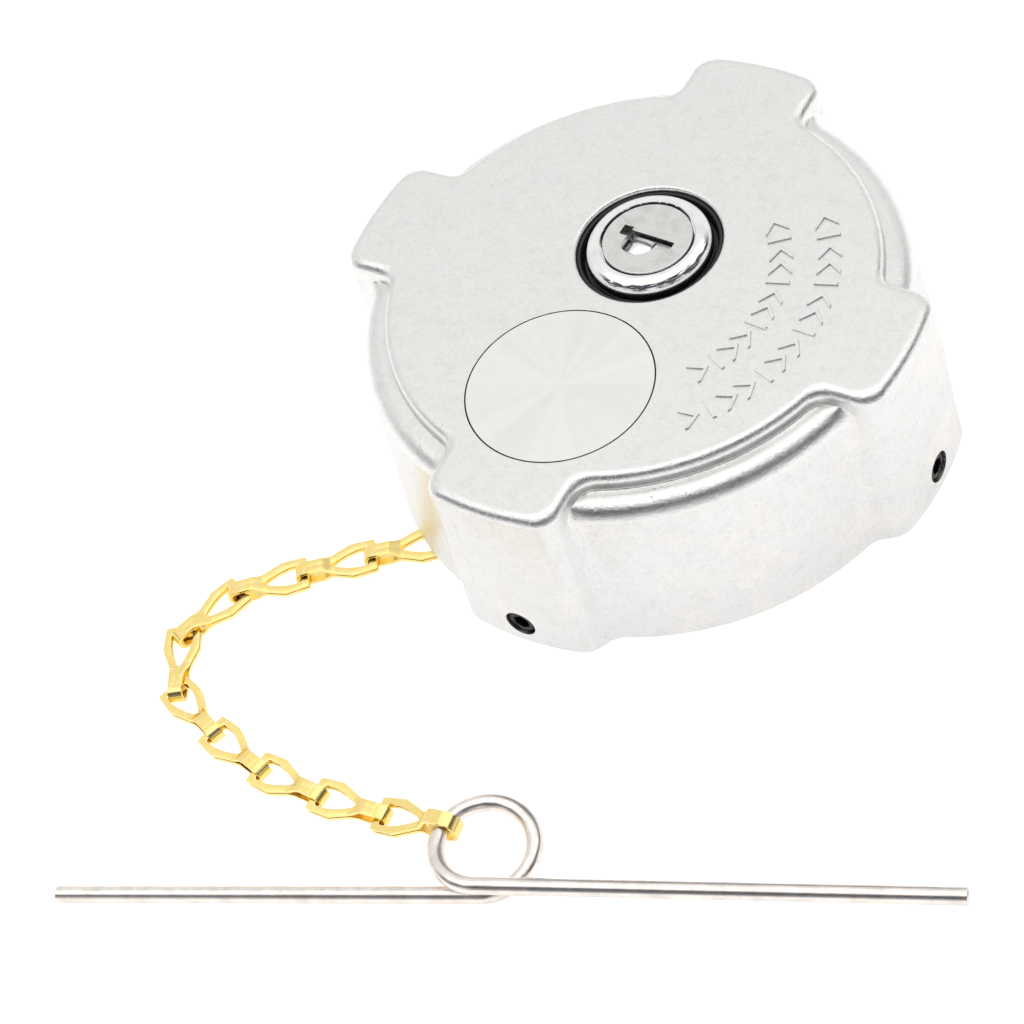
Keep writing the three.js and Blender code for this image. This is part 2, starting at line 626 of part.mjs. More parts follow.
function foldedNeck(eyeR) {
  const centre = PITCH + EYE_FORWARD;
  const legStart = PITCH - 1.1;
  const outer = eyeR + STRIP;
  const shape = new THREE.Shape();
  shape.moveTo(legStart, -outer);
  shape.absarc(centre, 0, outer, -Math.PI / 2, Math.PI / 2, false);
  shape.lineTo(legStart, outer);
  shape.lineTo(legStart, eyeR);
  shape.absarc(centre, 0, eyeR, Math.PI / 2, -Math.PI / 2, true);
  shape.lineTo(legStart, -eyeR);
  shape.closePath();
  const depth = 2 * NECK_HALF_WIDTH;
  const geometry = new THREE.ExtrudeGeometry(shape, { depth, bevelEnabled: false, curveSegments: 3 });
  geometry.translate(0, 0, -NECK_HALF_WIDTH);
  return geometry.rotateX(Math.PI / 2);
}

function linkGeometry(eyeR) {
  return combine(leaf(eyeR, 1), { plus: [leaf(eyeR, -1), foldedNeck(eyeR)] });
}

function anchorSwivel() {
  const ringCentre = ANCHOR_PIVOT_Z + ANCHOR_RING_R - ANCHOR_RING_WIRE - 1.2;
  const stem = turned([
    [0, ringCentre + ANCHOR_RING_R], [1.5, ringCentre + ANCHOR_RING_R], [1.5, -2], [3.6, -1.8],
    [3.6, RETAINER_Z - GAP], [ANCHOR_SHANK_R, RETAINER_Z - GAP], [ANCHOR_SHANK_R, FLOOR_TOP_Z + GAP],
    [4, FLOOR_TOP_Z + GAP], [4, FLOOR_TOP_Z + 1.5], [0, FLOOR_TOP_Z + 1.8],
  ], 16);
  const eye = new THREE.TorusGeometry(ANCHOR_RING_R, ANCHOR_RING_WIRE, 6, 16);
  eye.rotateX(Math.PI / 2);
  eye.translate(0, 0, ringCentre);
  return combine(stem, { plus: [eye] });
}

// ---- Wire: an arm, one turn of a loop, and the other arm ----
class WireCurve extends THREE.Curve {
  constructor(left, right) {
    super();
    this.left = left;
    this.right = right;
    this.loop = 2 * Math.PI * LOOP_R;
    this.length = left + this.loop + right;
    this.rise = 2 * WIRE_R + GAP;
  }

  getPoint(t, target = new THREE.Vector3()) {
    const s = t * this.length;
    if (s < this.left) return target.set(s - this.left, -LOOP_R, 0);
    if (s > this.left + this.loop) {
      const run = s - this.left - this.loop;
      return target.set(run, -LOOP_R, this.rise * (1 - run / this.right));
    }
    const turn = (s - this.left) / LOOP_R;
    const up = this.rise * smooth(turn, 0, 2 * Math.PI);
    return target.set(LOOP_R * Math.sin(turn), -LOOP_R * Math.cos(turn), up);
  }
}

const WIRE_HEADING = THREE.MathUtils.degToRad(19.8);

function wireRetainer() {
  const curve = new WireCurve(WIRE_LEFT, WIRE_RIGHT);
  const sides = 10;
  const stations = [0, WIRE_LEFT / 2, WIRE_LEFT - 1];
  const loopSteps = 28;
  for (let i = 0; i <= loopSteps; i += 1) stations.push(WIRE_LEFT + (i / loopSteps) * curve.loop);
  stations.push(WIRE_LEFT + curve.loop + 1, WIRE_LEFT + curve.loop + WIRE_RIGHT / 2, curve.length);
  const points = stations.map((s) => curve.getPoint(s / curve.length));
  return sweptStations(points, WIRE_R, sides);
}

// A round wire through a list of points, with a ring of vertices square to the path at each.
function sweptStations(points, radius, sides) {
  const positions = [];
  const index = [];
  const side = new THREE.Vector3();
  const up = new THREE.Vector3();
  points.forEach((point, i) => {
    const before = points[Math.max(i - 1, 0)];
    const after = points[Math.min(i + 1, points.length - 1)];
    const tangent = after.clone().sub(before).normalize();
    side.crossVectors(Z_AXIS, tangent).normalize();
    up.crossVectors(tangent, side);
    for (let k = 0; k < sides; k += 1) {
      const angle = (k / sides) * 2 * Math.PI;
      const spot = point.clone().addScaledVector(side, radius * Math.cos(angle));
      spot.addScaledVector(up, radius * Math.sin(angle));
      positions.push(spot.x, spot.y, spot.z);
    }
  });
  for (let i = 0; i + 1 < points.length; i += 1) {
    for (let k = 0; k < sides; k += 1) {
      const a = i * sides + k;
      const b = i * sides + ((k + 1) % sides);
      index.push(a, b, b + sides, a, b + sides, a + sides);
    }
  }
  const end = (points.length - 1) * sides;
  for (let k = 1; k + 1 < sides; k += 1) {
    index.push(0, k + 1, k);
    index.push(end, end + k, end + k + 1);
  }
  const geometry = new THREE.BufferGeometry();
  geometry.setAttribute('position', new THREE.Float32BufferAttribute(positions, 3));
  geometry.setIndex(index);
  return geometry;
}

// ---- Assembly ----
add(root, 'outer_shell', outerShell(), MATERIAL.castAluminium());
add(root, 'cover_disc', coverDisc(), MATERIAL.turnedAluminium());
for (let i = 0; i < LUG_COUNT; i += 1) {
  const screw = add(root, `set_screw_${i + 1}`, setScrew(), MATERIAL.blackSteel());
  screw.rotation.z = (i * 2 * Math.PI) / LUG_COUNT;
  screw.position.z = SCREW_Z;
}

const lock = new THREE.Group();
lock.position.y = LOCK_Y;
root.add(lock);
add(lock, 'lock_seal', lockSeal(), MATERIAL.rubber());
add(lock, 'lock_housing', lockHousing(), MATERIAL.chrome());
add(lock, 'lock_nut', lockNut(), MATERIAL.zincSteel());
add(lock, 'lock_plug', lockPlug(), MATERIAL.satinChrome());
add(lock, 'lock_cam', lockCam(), MATERIAL.zincSteel());
add(lock, 'keyway_shutter', keywayShutter(), MATERIAL.chrome());
add(root, 'drive_bolt', driveBolt(), MATERIAL.zincSteel());
add(root, 'bolt_guide', boltGuide(), MATERIAL.zincSteel());

add(root, 'inner_cap', innerCap(), MATERIAL.castAluminium());
add(root, 'neck_gasket', ring(RETAINER_R + GAP, BORE_R - THREAD_DEPTH - 0.5, 0, GASKET - 0.05), MATERIAL.rubber());
add(root, 'gasket_retainer', gasketRetainer(), MATERIAL.zincSteel());
rivetPlaces().forEach(([x, y], i) => {
  const mesh = add(root, `retainer_rivet_${i + 1}`, rivet(), MATERIAL.zincSteel());
  mesh.position.set(x, y, 0);
});
add(root, 'vent_body', ventBody(), MATERIAL.brass());
add(root, 'vent_ball', ventBall(), MATERIAL.stainless());
add(root, 'vent_spring', ventSpring(), MATERIAL.springSteel());
add(root, 'thrust_washer', ring(SPRING_R - 2.2, INNER_R - 0.6, WASHER_Z, WASHER_Z + 1.5), MATERIAL.acetal());
add(root, 'return_spring', returnSpring(), MATERIAL.springSteel());

const swivel = add(root, 'chain_swivel', anchorSwivel(), MATERIAL.brass());
swivel.position.set(ANCHOR.x, ANCHOR.y, 0);
swivel.rotation.z = PATH[0].heading;

function placeLink(name, geometry, from, to, normal, parent) {
  const mesh = add(parent, name, geometry, MATERIAL.brass());
  const along = to.clone().sub(from).normalize();
  const across = normal.clone().cross(along).normalize();
  const basis = new THREE.Matrix4().makeBasis(along, across, along.clone().cross(across));
  mesh.quaternion.setFromRotationMatrix(basis);
  mesh.position.copy(from);
}

placeLink('link_01', linkGeometry(EYE_R), ANCHOR, firstFlat, Z_AXIS, root);
PATH.forEach(({ place, heading }, i) => {
  const last = i === PATH.length - 1;
  const from = new THREE.Vector3(place.x, place.y, CHAIN_HALF_THICK);
  const ahead = direction2(heading);
  const to = from.clone().add(new THREE.Vector3(ahead.x, ahead.y, last ? END_LIFT / PITCH : 0));
  const name = `link_${String(i + 2).padStart(2, '0')}`;
  placeLink(name, linkGeometry(last ? END_EYE_R : EYE_R), from, to, Z_AXIS, table);
});

// The loop's near side passes through the last link's neck.
const lastLink = PATH[PATH.length - 1];
const loopSide = THREE.MathUtils.degToRad(174);
const neckCentre = lastLink.place.clone().addScaledVector(direction2(lastLink.heading), PITCH + EYE_FORWARD);
const loopCentre = neckCentre.clone().addScaledVector(direction2(loopSide), -LOOP_R);
const wire = add(table, 'retaining_wire', wireRetainer(), MATERIAL.stainless());
wire.rotation.z = WIRE_HEADING;
wire.position.set(loopCentre.x, loopCentre.y, WIRE_R);

export default root;
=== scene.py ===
"""Looks of a locking filler cap: cast shell, key lock, folded sash chain and anti-loss wire.

Shapes are worked out in millimetres in the row frame and scaled to metres as the meshes are made. Most pieces
are rebuilt from the CAD's driving dimensions, with the roundings it leaves out. Seven inner pieces keep the
CAD's mesh and only get a finish.
"""

import json
import math

import bmesh
import bpy
import numpy as np
from mathutils import Matrix, Vector


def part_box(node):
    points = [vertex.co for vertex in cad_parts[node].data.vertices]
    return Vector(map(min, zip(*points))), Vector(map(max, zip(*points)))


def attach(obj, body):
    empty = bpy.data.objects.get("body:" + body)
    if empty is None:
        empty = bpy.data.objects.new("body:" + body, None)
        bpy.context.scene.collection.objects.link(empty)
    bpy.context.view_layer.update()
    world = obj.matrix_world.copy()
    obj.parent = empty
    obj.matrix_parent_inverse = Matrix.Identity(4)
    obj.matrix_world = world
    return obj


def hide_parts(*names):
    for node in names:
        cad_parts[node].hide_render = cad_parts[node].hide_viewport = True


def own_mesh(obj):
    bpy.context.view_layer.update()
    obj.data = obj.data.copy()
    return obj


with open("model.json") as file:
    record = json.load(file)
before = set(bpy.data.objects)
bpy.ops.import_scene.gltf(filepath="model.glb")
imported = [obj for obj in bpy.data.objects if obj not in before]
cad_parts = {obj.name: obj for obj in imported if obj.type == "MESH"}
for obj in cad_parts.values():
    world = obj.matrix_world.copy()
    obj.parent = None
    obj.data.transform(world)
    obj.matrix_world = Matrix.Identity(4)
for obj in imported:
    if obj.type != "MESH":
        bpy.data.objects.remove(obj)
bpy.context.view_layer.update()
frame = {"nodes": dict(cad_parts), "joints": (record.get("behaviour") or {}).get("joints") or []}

MM = 0.001
TURN = 2 * math.pi

# ---- Driving dimensions, in millimetres, as in the CAD ----
TOP_Z = 25
RIM_Z = -14
CAP_HEIGHT = TOP_Z - RIM_Z
TOP_FACE_R = 44.9
TOP_ROUNDING = 1.8
LEDGE_Z = TOP_Z - 3.4
LEDGE_R = 47.9
SHOULDER_R = 4.1
SHOULDER_Z = LEDGE_Z - SHOULDER_R
SKIRT_R_BOTTOM = 53.9
LUG_COUNT = 4
LUG_END_R = (57.2, 58.0)  # at the top face and at the rim
LUG_HALF_WIDTH = (13.4, 14.8)
LUG_EDGE_ROUNDING = 2.1
LUG_CORNER_R = 3.6
LUG_ROOT_FILLET = 3
CEILING_Z = 20.5
CAVITY_R = 49.4
SCREW_Z = -8.3
SCREW_R = 2.9
SCREW_HOLE_R = 3.05
SCREW_SOCKET_R = 1.75
INNER_R = 48.4
MARK_RINGS = ((28.3, -35, 42, 12), (37.2, -45, 38, 15))  # radius, first and last degree, count
MARK_SIZE = 4.4
MARK_STROKE = 0.7
MARK_HEIGHT = 0.3

DISC_Y = -27
DISC_R = 17.5
DISC_DEPTH = 3
LOCK_Y = 8.2
RECESS_R = 13.85
RECESS_Z = TOP_Z - 3.5
BEZEL_R = 12.1
PLUG_R = 8.6
PLUG_TOP_Z = TOP_Z + 1.5
BARREL_R = 9.6
SLOT_TILT = math.radians(-3.5)
SLOT_LENGTH = 11
SLOT_WIDTH = 1.7
PLUG_PLACE = Matrix.Translation((0, LOCK_Y, 0)) @ Matrix.Rotation(SLOT_TILT, 4, "Z")
SHUTTER_X = -1.3
CLEARANCE = 0.3

GASKET_R = (29.8, 41.7)
GASKET_THICK = 2.95
WASHER_R = (39.8, 47.8)
WASHER_Z = (8.3, 9.8)
RETURN_COIL_R = 42
RETURN_COIL_Z = (10.9, 19.4)
RETURN_WIRE_R = 0.8
VENT_BALL_R = 2
VENT_BALL_Z = 1.2
VENT_COIL_R = 1.5
VENT_COIL_Z = (3.75, 6.75)
VENT_WIRE_R = 0.3

STRIP = 0.7
PITCH = 14.1
EYE_R = 1.15
END_EYE_R = 2.4
EYE_FORWARD = 0.05
NECK_HALF_WIDTH = 1.4
LINK_HALF_WIDTH = 3.4
BAR_HALF = 0.6
LINK_COUNT = 13
RETAINER_Z = 0.8

WIRE_R = 1.6
LOOP_R = 8.85
WIRE_LEFT = 83
WIRE_RIGHT = 86.5
WIRE_RISE = 2 * WIRE_R + CLEARANCE
WIRE_HEADING = math.radians(19.8)
LOOP_NECK_SIDE = math.radians(174)  # where the last link's neck is on the loop

# ---- Studio ----
CAMERA_PLACE = (239.04, -281.09, 415.14)
CAMERA_TARGET = (-17.62, -32.48, RIM_Z)
CAMERA_ROLL = math.radians(-21.28)
CAMERA_SENSOR = 36
CAMERA_LENS = 102.56
CAMERA_SIDE = (0.718, -0.696, 0)  # level direction from the cap to the camera
FLOOR_HALF = 3000
FLOOR_DROP = 0.15
FLOOR_GLOW = 0.46
FLOOR_GLOW_SEEN = 0.7  # what the camera sees of it
SKY_STRENGTH = 2.0  # the sky's ramps hold half levels, because a ramp ends at 1


# ---- Mesh helpers ----
def make_mesh(name, points, faces):
    mesh = bpy.data.meshes.new(name)
    mesh.from_pydata([Vector(p) * MM for p in points], [], faces)
    mesh.validate()
    mesh.update()
    obj = bpy.data.objects.new(name, mesh)
    bpy.context.scene.collection.objects.link(obj)
    return obj


def merge_doubles(obj, distance=0.002):
    work = bmesh.new()
    work.from_mesh(obj.data)
    bmesh.ops.remove_doubles(work, verts=work.verts, dist=distance * MM)
    bmesh.ops.dissolve_degenerate(work, edges=work.edges, dist=distance * MM)
    bmesh.ops.recalc_face_normals(work, faces=work.faces)
    work.to_mesh(obj.data)
    work.free()


def settle_modifiers(obj):
    """Replaces the object's mesh by what its modifiers make of it."""
    graph = bpy.context.evaluated_depsgraph_get()
    mesh = bpy.data.meshes.new_from_object(obj.evaluated_get(graph))
    obj.modifiers.clear()
    obj.data = mesh


def boolean(obj, tools, operation="DIFFERENCE"):
    for tool in tools:
        step = obj.modifiers.new("cut", "BOOLEAN")
        step.operation = operation
        step.solver = "EXACT"
        step.object = tool
    settle_modifiers(obj)
    for tool in tools:
        bpy.data.objects.remove(tool)


def shade(obj, sharp_degrees=32):
    obj.data.shade_smooth()
    obj.data.set_sharp_from_angle(angle=math.radians(sharp_degrees))
    weigh = obj.modifiers.new("weighted_normals", "WEIGHTED_NORMAL")
    weigh.keep_sharp = True
    weigh.weight = 100


def bevel(obj, width, segments, angle_degrees):
    step = obj.modifiers.new("bevel", "BEVEL")
    step.width = width * MM
    step.segments = segments
    step.limit_method = "ANGLE"
    step.angle_limit = math.radians(angle_degrees)
    step.use_clamp_overlap = True


def grid_faces(rows, columns, close_columns=True):
    faces = []
    last = columns if close_columns else columns - 1
    for row in range(rows - 1):
        for column in range(last):
            a = row * columns + column
            b = row * columns + (column + 1) % columns
            faces.append((a, b, b + columns, a + columns))
    return faces


def rounded(profile, steps=6):
    """A closed outline of (r, z, rounding) corners, with an arc at each corner that has a rounding."""
    points = []
    count = len(profile)
    for i, (r, z, radius) in enumerate(profile):
        here = np.array((r, z), float)
        if not radius:
            points.append(here)
            continue
        before = np.array(profile[i - 1][:2], float) - here
        after = np.array(profile[(i + 1) % count][:2], float) - here
        before /= np.linalg.norm(before)
        after /= np.linalg.norm(after)
        half = math.acos(np.clip(before @ after, -1, 1)) / 2
        reach = radius / math.tan(half)
        middle = before + after
        centre = here + middle / np.linalg.norm(middle) * radius / math.sin(half)
        start = here + before * reach - centre
        end = here + after * reach - centre
        sweep = math.acos(np.clip(start @ end / radius**2, -1, 1))
        for k in range(steps + 1):
            share = k / steps
            weight_a = math.sin((1 - share) * sweep) / math.sin(sweep)
            weight_b = math.sin(share * sweep) / math.sin(sweep)
            points.append(centre + start * weight_a + end * weight_b)
    return points


def lathe(name, profile, place=(0, 0, 0), segments=128):
    """A solid turned about Z from a closed outline of (r, z, rounding); points on the axis meet there."""
    outline = rounded(profile)
    points = []
    for column in range(segments):
        angle = TURN * column / segments
        for r, z in outline:
            points.append((place[0] + r * math.cos(angle), place[1] + r * math.sin(angle), place[2] + z))
    rows = len(outline)
    faces = []
    for column in range(segments):
        nxt = (column + 1) % segments
        for row in range(rows):
            after = (row + 1) % rows
            if outline[row][0] < 1e-6 and outline[after][0] < 1e-6:
                continue
            faces.append((column * rows + row, nxt * rows + row, nxt * rows + after, column * rows + after))
    obj = make_mesh(name, points, faces)
    merge_doubles(obj)
    return obj


def box(name, low, high):
    (x0, y0, z0), (x1, y1, z1) = low, high
    points = [(x, y, z) for z in (z0, z1) for y in (y0, y1) for x in (x0, x1)]
    faces = [(0, 2, 3, 1), (4, 5, 7, 6), (0, 1, 5, 4), (2, 6, 7, 3), (0, 4, 6, 2), (1, 3, 7, 5)]
    return make_mesh(name, points, faces)


def sweep(name, path, radius, sides=24, chamfer=0.0):
    """A round rod along a path, with chamfered ends."""
    path = np.array(path, float)
    tangents = np.gradient(path, axis=0)
    tangents /= np.linalg.norm(tangents, axis=1)[:, None]
    stations = [(path[0], tangents[0], radius - chamfer)]
    stations.append((path[0] + tangents[0] * chamfer, tangents[0], radius))
    stations += [(p, t, radius) for p, t in zip(path[1:-1], tangents[1:-1])]
    stations.append((path[-1] - tangents[-1] * chamfer, tangents[-1], radius))
    stations.append((path[-1], tangents[-1], radius - chamfer))
    side = np.cross(tangents[0], (0.1, 0.2, 1.0))
    points = []
    for place, tangent, r in stations:
        side = side - (side @ tangent) * tangent
        side /= np.linalg.norm(side)
        up = np.cross(tangent, side)
        for k in range(sides):
            angle = TURN * k / sides
            points.append(place + r * (math.cos(angle) * side + math.sin(angle) * up))
    faces = grid_faces(len(stations), sides)
    faces.append(tuple(reversed(range(sides))))
    faces.append(tuple(range((len(stations) - 1) * sides, len(stations) * sides)))
    obj = make_mesh(name, points, faces)
    merge_doubles(obj)
    return obj


def place_mesh(obj, matrix):
    """Puts a mesh made in its own millimetre frame where matrix says; the object stays at the origin."""
    scaled = matrix.copy()
    scaled.translation = matrix.translation * MM
    obj.data.transform(scaled)


def dress(obj, body, slot, material, *nodes):
    obj.data.materials.clear()
    obj.data.materials.append(material)
    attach(obj, body)
    if nodes:
        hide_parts(*nodes)


# ---- Material helpers ----
class Surface:
    """A principled material with a few shorthand nodes, in metres of the object's own coordinates."""

    def __init__(self, name):
        self.material = bpy.data.materials.new(name)
        self.material.use_nodes = True
        self.tree = self.material.node_tree
        self.shader = self.tree.nodes["Principled BSDF"]
        self.place = self.node("ShaderNodeTexCoord").outputs["Object"]

    def node(self, kind, **settings):
        made = self.tree.nodes.new(kind)
        for key, value in settings.items():
            setattr(made, key, value)
        return made

    def link(self, source, target):
        if hasattr(source, "links"):
            self.tree.links.new(source, target)
        else:
            target.default_value = source

    def set(self, **values):
        for key, value in values.items():
            self.link(value, self.shader.inputs[key.replace("_", " ")])

    def math(self, operation, a, b=0.0, clamp=False):
        made = self.node("ShaderNodeMath", operation=operation, use_clamp=clamp)
        self.link(a, made.inputs[0])
        self.link(b, made.inputs[1])
        return made.outputs[0]

    def stretch(self, source, scale):
        made = self.node("ShaderNodeVectorMath", operation="MULTIPLY")
        self.link(source, made.inputs[0])
        made.inputs[1].default_value = scale
        return made.outputs[0]

    def noise(self, size_mm, detail=3.0, rough=0.55, source=None, warp=0.0):
        made = self.node("ShaderNodeTexNoise")
        self.link(source or self.place, made.inputs["Vector"])
        made.inputs["Scale"].default_value = 1 / (size_mm * MM)
        made.inputs["Detail"].default_value = detail
        made.inputs["Roughness"].default_value = rough
        made.inputs["Distortion"].default_value = warp
        return made.outputs["Fac"]

    def ramp(self, source, low, high, to_low=0.0, to_high=1.0):
        made = self.node("ShaderNodeMapRange", interpolation_type="SMOOTHSTEP")
        self.link(source, made.inputs["Value"])
        made.inputs["From Min"].default_value = low
        made.inputs["From Max"].default_value = high
        made.inputs["To Min"].default_value = to_low
        made.inputs["To Max"].default_value = to_high
        return made.outputs["Result"]

    def blend(self, share, a, b):
        made = self.node("ShaderNodeMix", data_type="RGBA")
        self.link(share, made.inputs["Factor"])
        self.link(a, made.inputs["A"])
        self.link(b, made.inputs["B"])
        return made.outputs["Result"]

    def bump(self, height, depth_mm, before=None):
        made = self.node("ShaderNodeBump")
        made.inputs["Strength"].default_value = 1.0
        made.inputs["Distance"].default_value = depth_mm * MM
        self.link(height, made.inputs["Height"])
        if before is not None:
            self.link(before, made.inputs["Normal"])
        return made.outputs["Normal"]

    def axes(self, source=None):
        made = self.node("ShaderNodeSeparateXYZ")
        self.link(source or self.place, made.inputs[0])
        return made.outputs

    def geometry(self, name):
        return self.node("ShaderNodeNewGeometry").outputs[name]


def gray(value, warmth=0.0):
    return (value, value * (1 - 0.3 * warmth), value * (1 - warmth), 1)


# ---- Materials ----
CAST_TONE = 0.80


def cast_aluminium():
    """Satin casting whose rounded edges are polished bright, with pits, faint stains and fine scratches."""
    s = Surface("cast_aluminium")
    slope = s.math("ABSOLUTE", s.axes(s.geometry("True Normal"))[2])
    curved = s.math("MULTIPLY", s.ramp(slope, 0.1, 0.3), s.ramp(slope, 0.93, 0.995, 1.0, 0.0))
    wall = s.ramp(slope, 0.12, 0.3, 1.0, 0.0)
    pits = s.ramp(s.noise(0.5, 4, 0.7), 0.60, 0.72)
    patches = s.ramp(s.noise(9, 3, 0.6), 0.50, 0.70)
    specks = s.math("MULTIPLY", pits, s.math("ADD", s.math("MULTIPLY", patches, 0.75), 0.25))
    cloud = s.ramp(s.noise(3.2, 5, 0.72), 0.46, 0.74)
    streaks = s.ramp(s.noise(1.4, 4, 0.65, source=s.stretch(s.place, (1, 1, 0.12))), 0.52, 0.78)
    stain = s.ramp(s.noise(11, 3, 0.6, warp=0.6), 0.50, 0.76)
    warm = s.math("MULTIPLY", stain, s.math("ADD", s.math("MULTIPLY", wall, 0.7), 0.12))
    base = s.blend(warm, gray(CAST_TONE, 0.012), (0.90, 0.84, 0.79, 1))
    base = s.blend(s.math("MULTIPLY", cloud, 0.34), base, gray(0.66, 0.02))
    base = s.blend(s.math("MULTIPLY", s.math("MULTIPLY", streaks, wall), 0.24), base, gray(0.62, 0.04))
    fine = s.ramp(s.noise(0.8, 5, 0.8), 0.42, 0.72)
    base = s.blend(s.math("MULTIPLY", fine, 0.30), base, gray(0.60, 0.02))
    base = s.blend(s.math("MULTIPLY", specks, 0.9), base, gray(0.36, 0.02))
    polished = s.ramp(s.noise(1.1, 4, 0.7), 0.35, 0.7, 0.09, 0.25)
    satin = s.ramp(s.noise(5, 4, 0.6), 0.3, 0.7, 0.30, 0.40)
    height = s.axes()[2]
    top_edge = s.ramp(height, (TOP_Z - 2.6) * MM, (TOP_Z - 1.6) * MM, 0.0, 0.05)
    polished = s.math("ADD", polished, top_edge)
    flat = s.math("SUBTRACT", 1.0, curved)
    rough = s.math("ADD", s.math("MULTIPLY", curved, polished), s.math("MULTIPLY", flat, satin))
    dents = s.math("MULTIPLY", s.noise(0.7, 4, 0.75), s.math("ADD", s.math("MULTIPLY", curved, 0.8), 0.2))
    grain = s.bump(s.noise(0.35, 3, 0.6), 0.012)
    waves = s.bump(s.noise(2.4, 3, 0.55), 0.045, s.bump(dents, 0.08, grain))
    sunk = s.bump(s.math("SUBTRACT", 1.0, specks), 0.03, waves)
    s.set(Base_Color=base, Metallic=1.0, Roughness=rough, Normal=sunk)
    return s.material


def turned_aluminium(centre_mm):
    """A lathe-faced disc: barely visible rings round its centre and a painted sheen that fans out from it."""
    s = Surface("turned_aluminium")
    x, y, _ = s.axes()
    dx = s.math("SUBTRACT", x, centre_mm[0] * MM)
    dy = s.math("SUBTRACT", y, centre_mm[1] * MM)
    radius = s.math("SQRT", s.math("ADD", s.math("MULTIPLY", dx, dx), s.math("MULTIPLY", dy, dy)))
    along = s.node("ShaderNodeCombineXYZ")
    s.link(radius, along.inputs[0])
    rings = s.noise(0.3, 3, 0.7, source=along.outputs[0])
    broad = s.noise(2.6, 2, 0.5, source=along.outputs[0])
    spoke = s.node("ShaderNodeCombineXYZ")
    s.link(s.math("DIVIDE", dx, radius), spoke.inputs[0])
    s.link(s.math("DIVIDE", dy, radius), spoke.inputs[1])
    # painted sheen: a lighter fan of colour out from the centre stands in for the turned face's reflection
    painted_fan_sheen = s.ramp(s.noise(420, 2, 0.5, source=spoke.outputs[0]), 0.35, 0.65)
    base = s.blend(s.ramp(broad, 0.3, 0.7), gray(CAST_TONE, 0.02), gray(CAST_TONE * 0.985, 0.03))
    base = s.blend(s.math("MULTIPLY", painted_fan_sheen, 0.3), base, gray(0.95, 0.03))
    base = s.blend(s.math("MULTIPLY", s.ramp(s.noise(6, 3, 0.6), 0.52, 0.75), 0.10), base, gray(0.66, 0.05))
    specks = s.ramp(s.noise(0.5, 4, 0.7), 0.66, 0.76)
    base = s.blend(s.math("MULTIPLY", specks, 0.14), base, gray(0.4, 0.03))
    s.set(Base_Color=base, Metallic=1.0, Roughness=s.ramp(rings, 0.3, 0.7, 0.28, 0.36))
    s.set(Normal=s.bump(rings, 0.0015))
    return s.material


def chrome(name, value, rough):
    s = Surface(name)
    smear = s.noise(3, 4, 0.6)
    s.set(
        Base_Color=s.blend(s.ramp(smear, 0.4, 0.75), gray(value), gray(value * 0.9, 0.02)),
        Metallic=1.0,
        Roughness=s.ramp(s.noise(0.8, 4, 0.7), 0.35, 0.75, *rough),
        Normal=s.bump(s.noise(1.2, 3, 0.5), 0.004),
    )
    return s.material


def satin_chrome():
    """The plug's face: fine straight graining over plate."""
    s = Surface("satin_chrome")
    strokes = s.noise(0.25, 3, 0.6, source=s.stretch(s.place, (0.06, 1, 1)))
    base = s.blend(s.ramp(s.noise(2.5, 3, 0.6), 0.4, 0.7), gray(0.70, 0.01), gray(0.62, 0.02))
    s.set(Base_Color=base, Metallic=1.0, Roughness=s.ramp(strokes, 0.3, 0.7, 0.24, 0.36))
    s.set(Normal=s.bump(strokes, 0.004))
    return s.material


def brass():
    """Bright plated strip: clear yellow gold with rubbed spots, small specks and soft pressing marks."""
    s = Surface("chain_gold")
    rub = s.ramp(s.noise(1.8, 4, 0.6), 0.45, 0.72)
    base = s.blend(rub, (1.0, 0.78, 0.29, 1), (1.0, 0.82, 0.38, 1))
    specks = s.ramp(s.noise(0.3, 3, 0.7), 0.66, 0.76)
    base = s.blend(s.math("MULTIPLY", specks, 0.12), base, (0.66, 0.44, 0.15, 1))
    rough = s.ramp(s.noise(0.7, 4, 0.6), 0.3, 0.75, 0.13, 0.22)
    grain = s.bump(s.noise(0.22, 2, 0.5), 0.001)
    s.set(Base_Color=base, Metallic=1.0, Roughness=rough, Normal=s.bump(s.noise(2.2, 2, 0.5), 0.015, grain))
    return s.material


def drawn_steel(name, tint, rough, grain=0.006):
    """Drawn or plated steel with faint die lines and small variations of tone."""
    s = Surface(name)
    tone = s.ramp(s.noise(4, 4, 0.6), 0.35, 0.7)
    darker = tuple(c * 0.82 for c in tint[:3]) + (1,)
    base = s.blend(tone, tint, darker)
    s.set(Base_Color=base, Metallic=1.0, Roughness=s.ramp(s.noise(0.5, 4, 0.65), 0.3, 0.7, *rough))
    s.set(Normal=s.bump(s.noise(0.4, 3, 0.6), grain))
    return s.material


def black_oxide():
    s = Surface("black_oxide")
    wear = s.ramp(s.noise(0.6, 4, 0.7), 0.58, 0.75)
    base = s.blend(wear, gray(0.012), gray(0.10))
    s.set(Base_Color=base, Metallic=0.8, Roughness=s.ramp(s.noise(0.5, 3, 0.6), 0.3, 0.7, 0.28, 0.5))
    s.set(Normal=s.bump(s.noise(0.2, 3, 0.6), 0.006))
    return s.material


def black_moulding(name, rough):
    s = Surface(name)
    base = s.blend(s.ramp(s.noise(1.5, 4, 0.7), 0.5, 0.8), gray(0.006), gray(0.03))
    s.set(Base_Color=base, Roughness=s.ramp(s.noise(0.7, 3, 0.6), 0.3, 0.7, *rough))
    s.set(Normal=s.bump(s.noise(0.35, 3, 0.6), 0.012))
    return s.material


def acetal():
    s = Surface("white_acetal")
    base = s.blend(s.ramp(s.noise(3, 3, 0.6), 0.4, 0.7), gray(0.82, 0.05), gray(0.74, 0.08))
    s.set(Base_Color=base, Roughness=s.ramp(s.noise(0.8, 3, 0.6), 0.3, 0.7, 0.35, 0.55))
    s.set(Subsurface_Weight=0.05, Normal=s.bump(s.noise(0.5, 3, 0.6), 0.01))
    return s.material


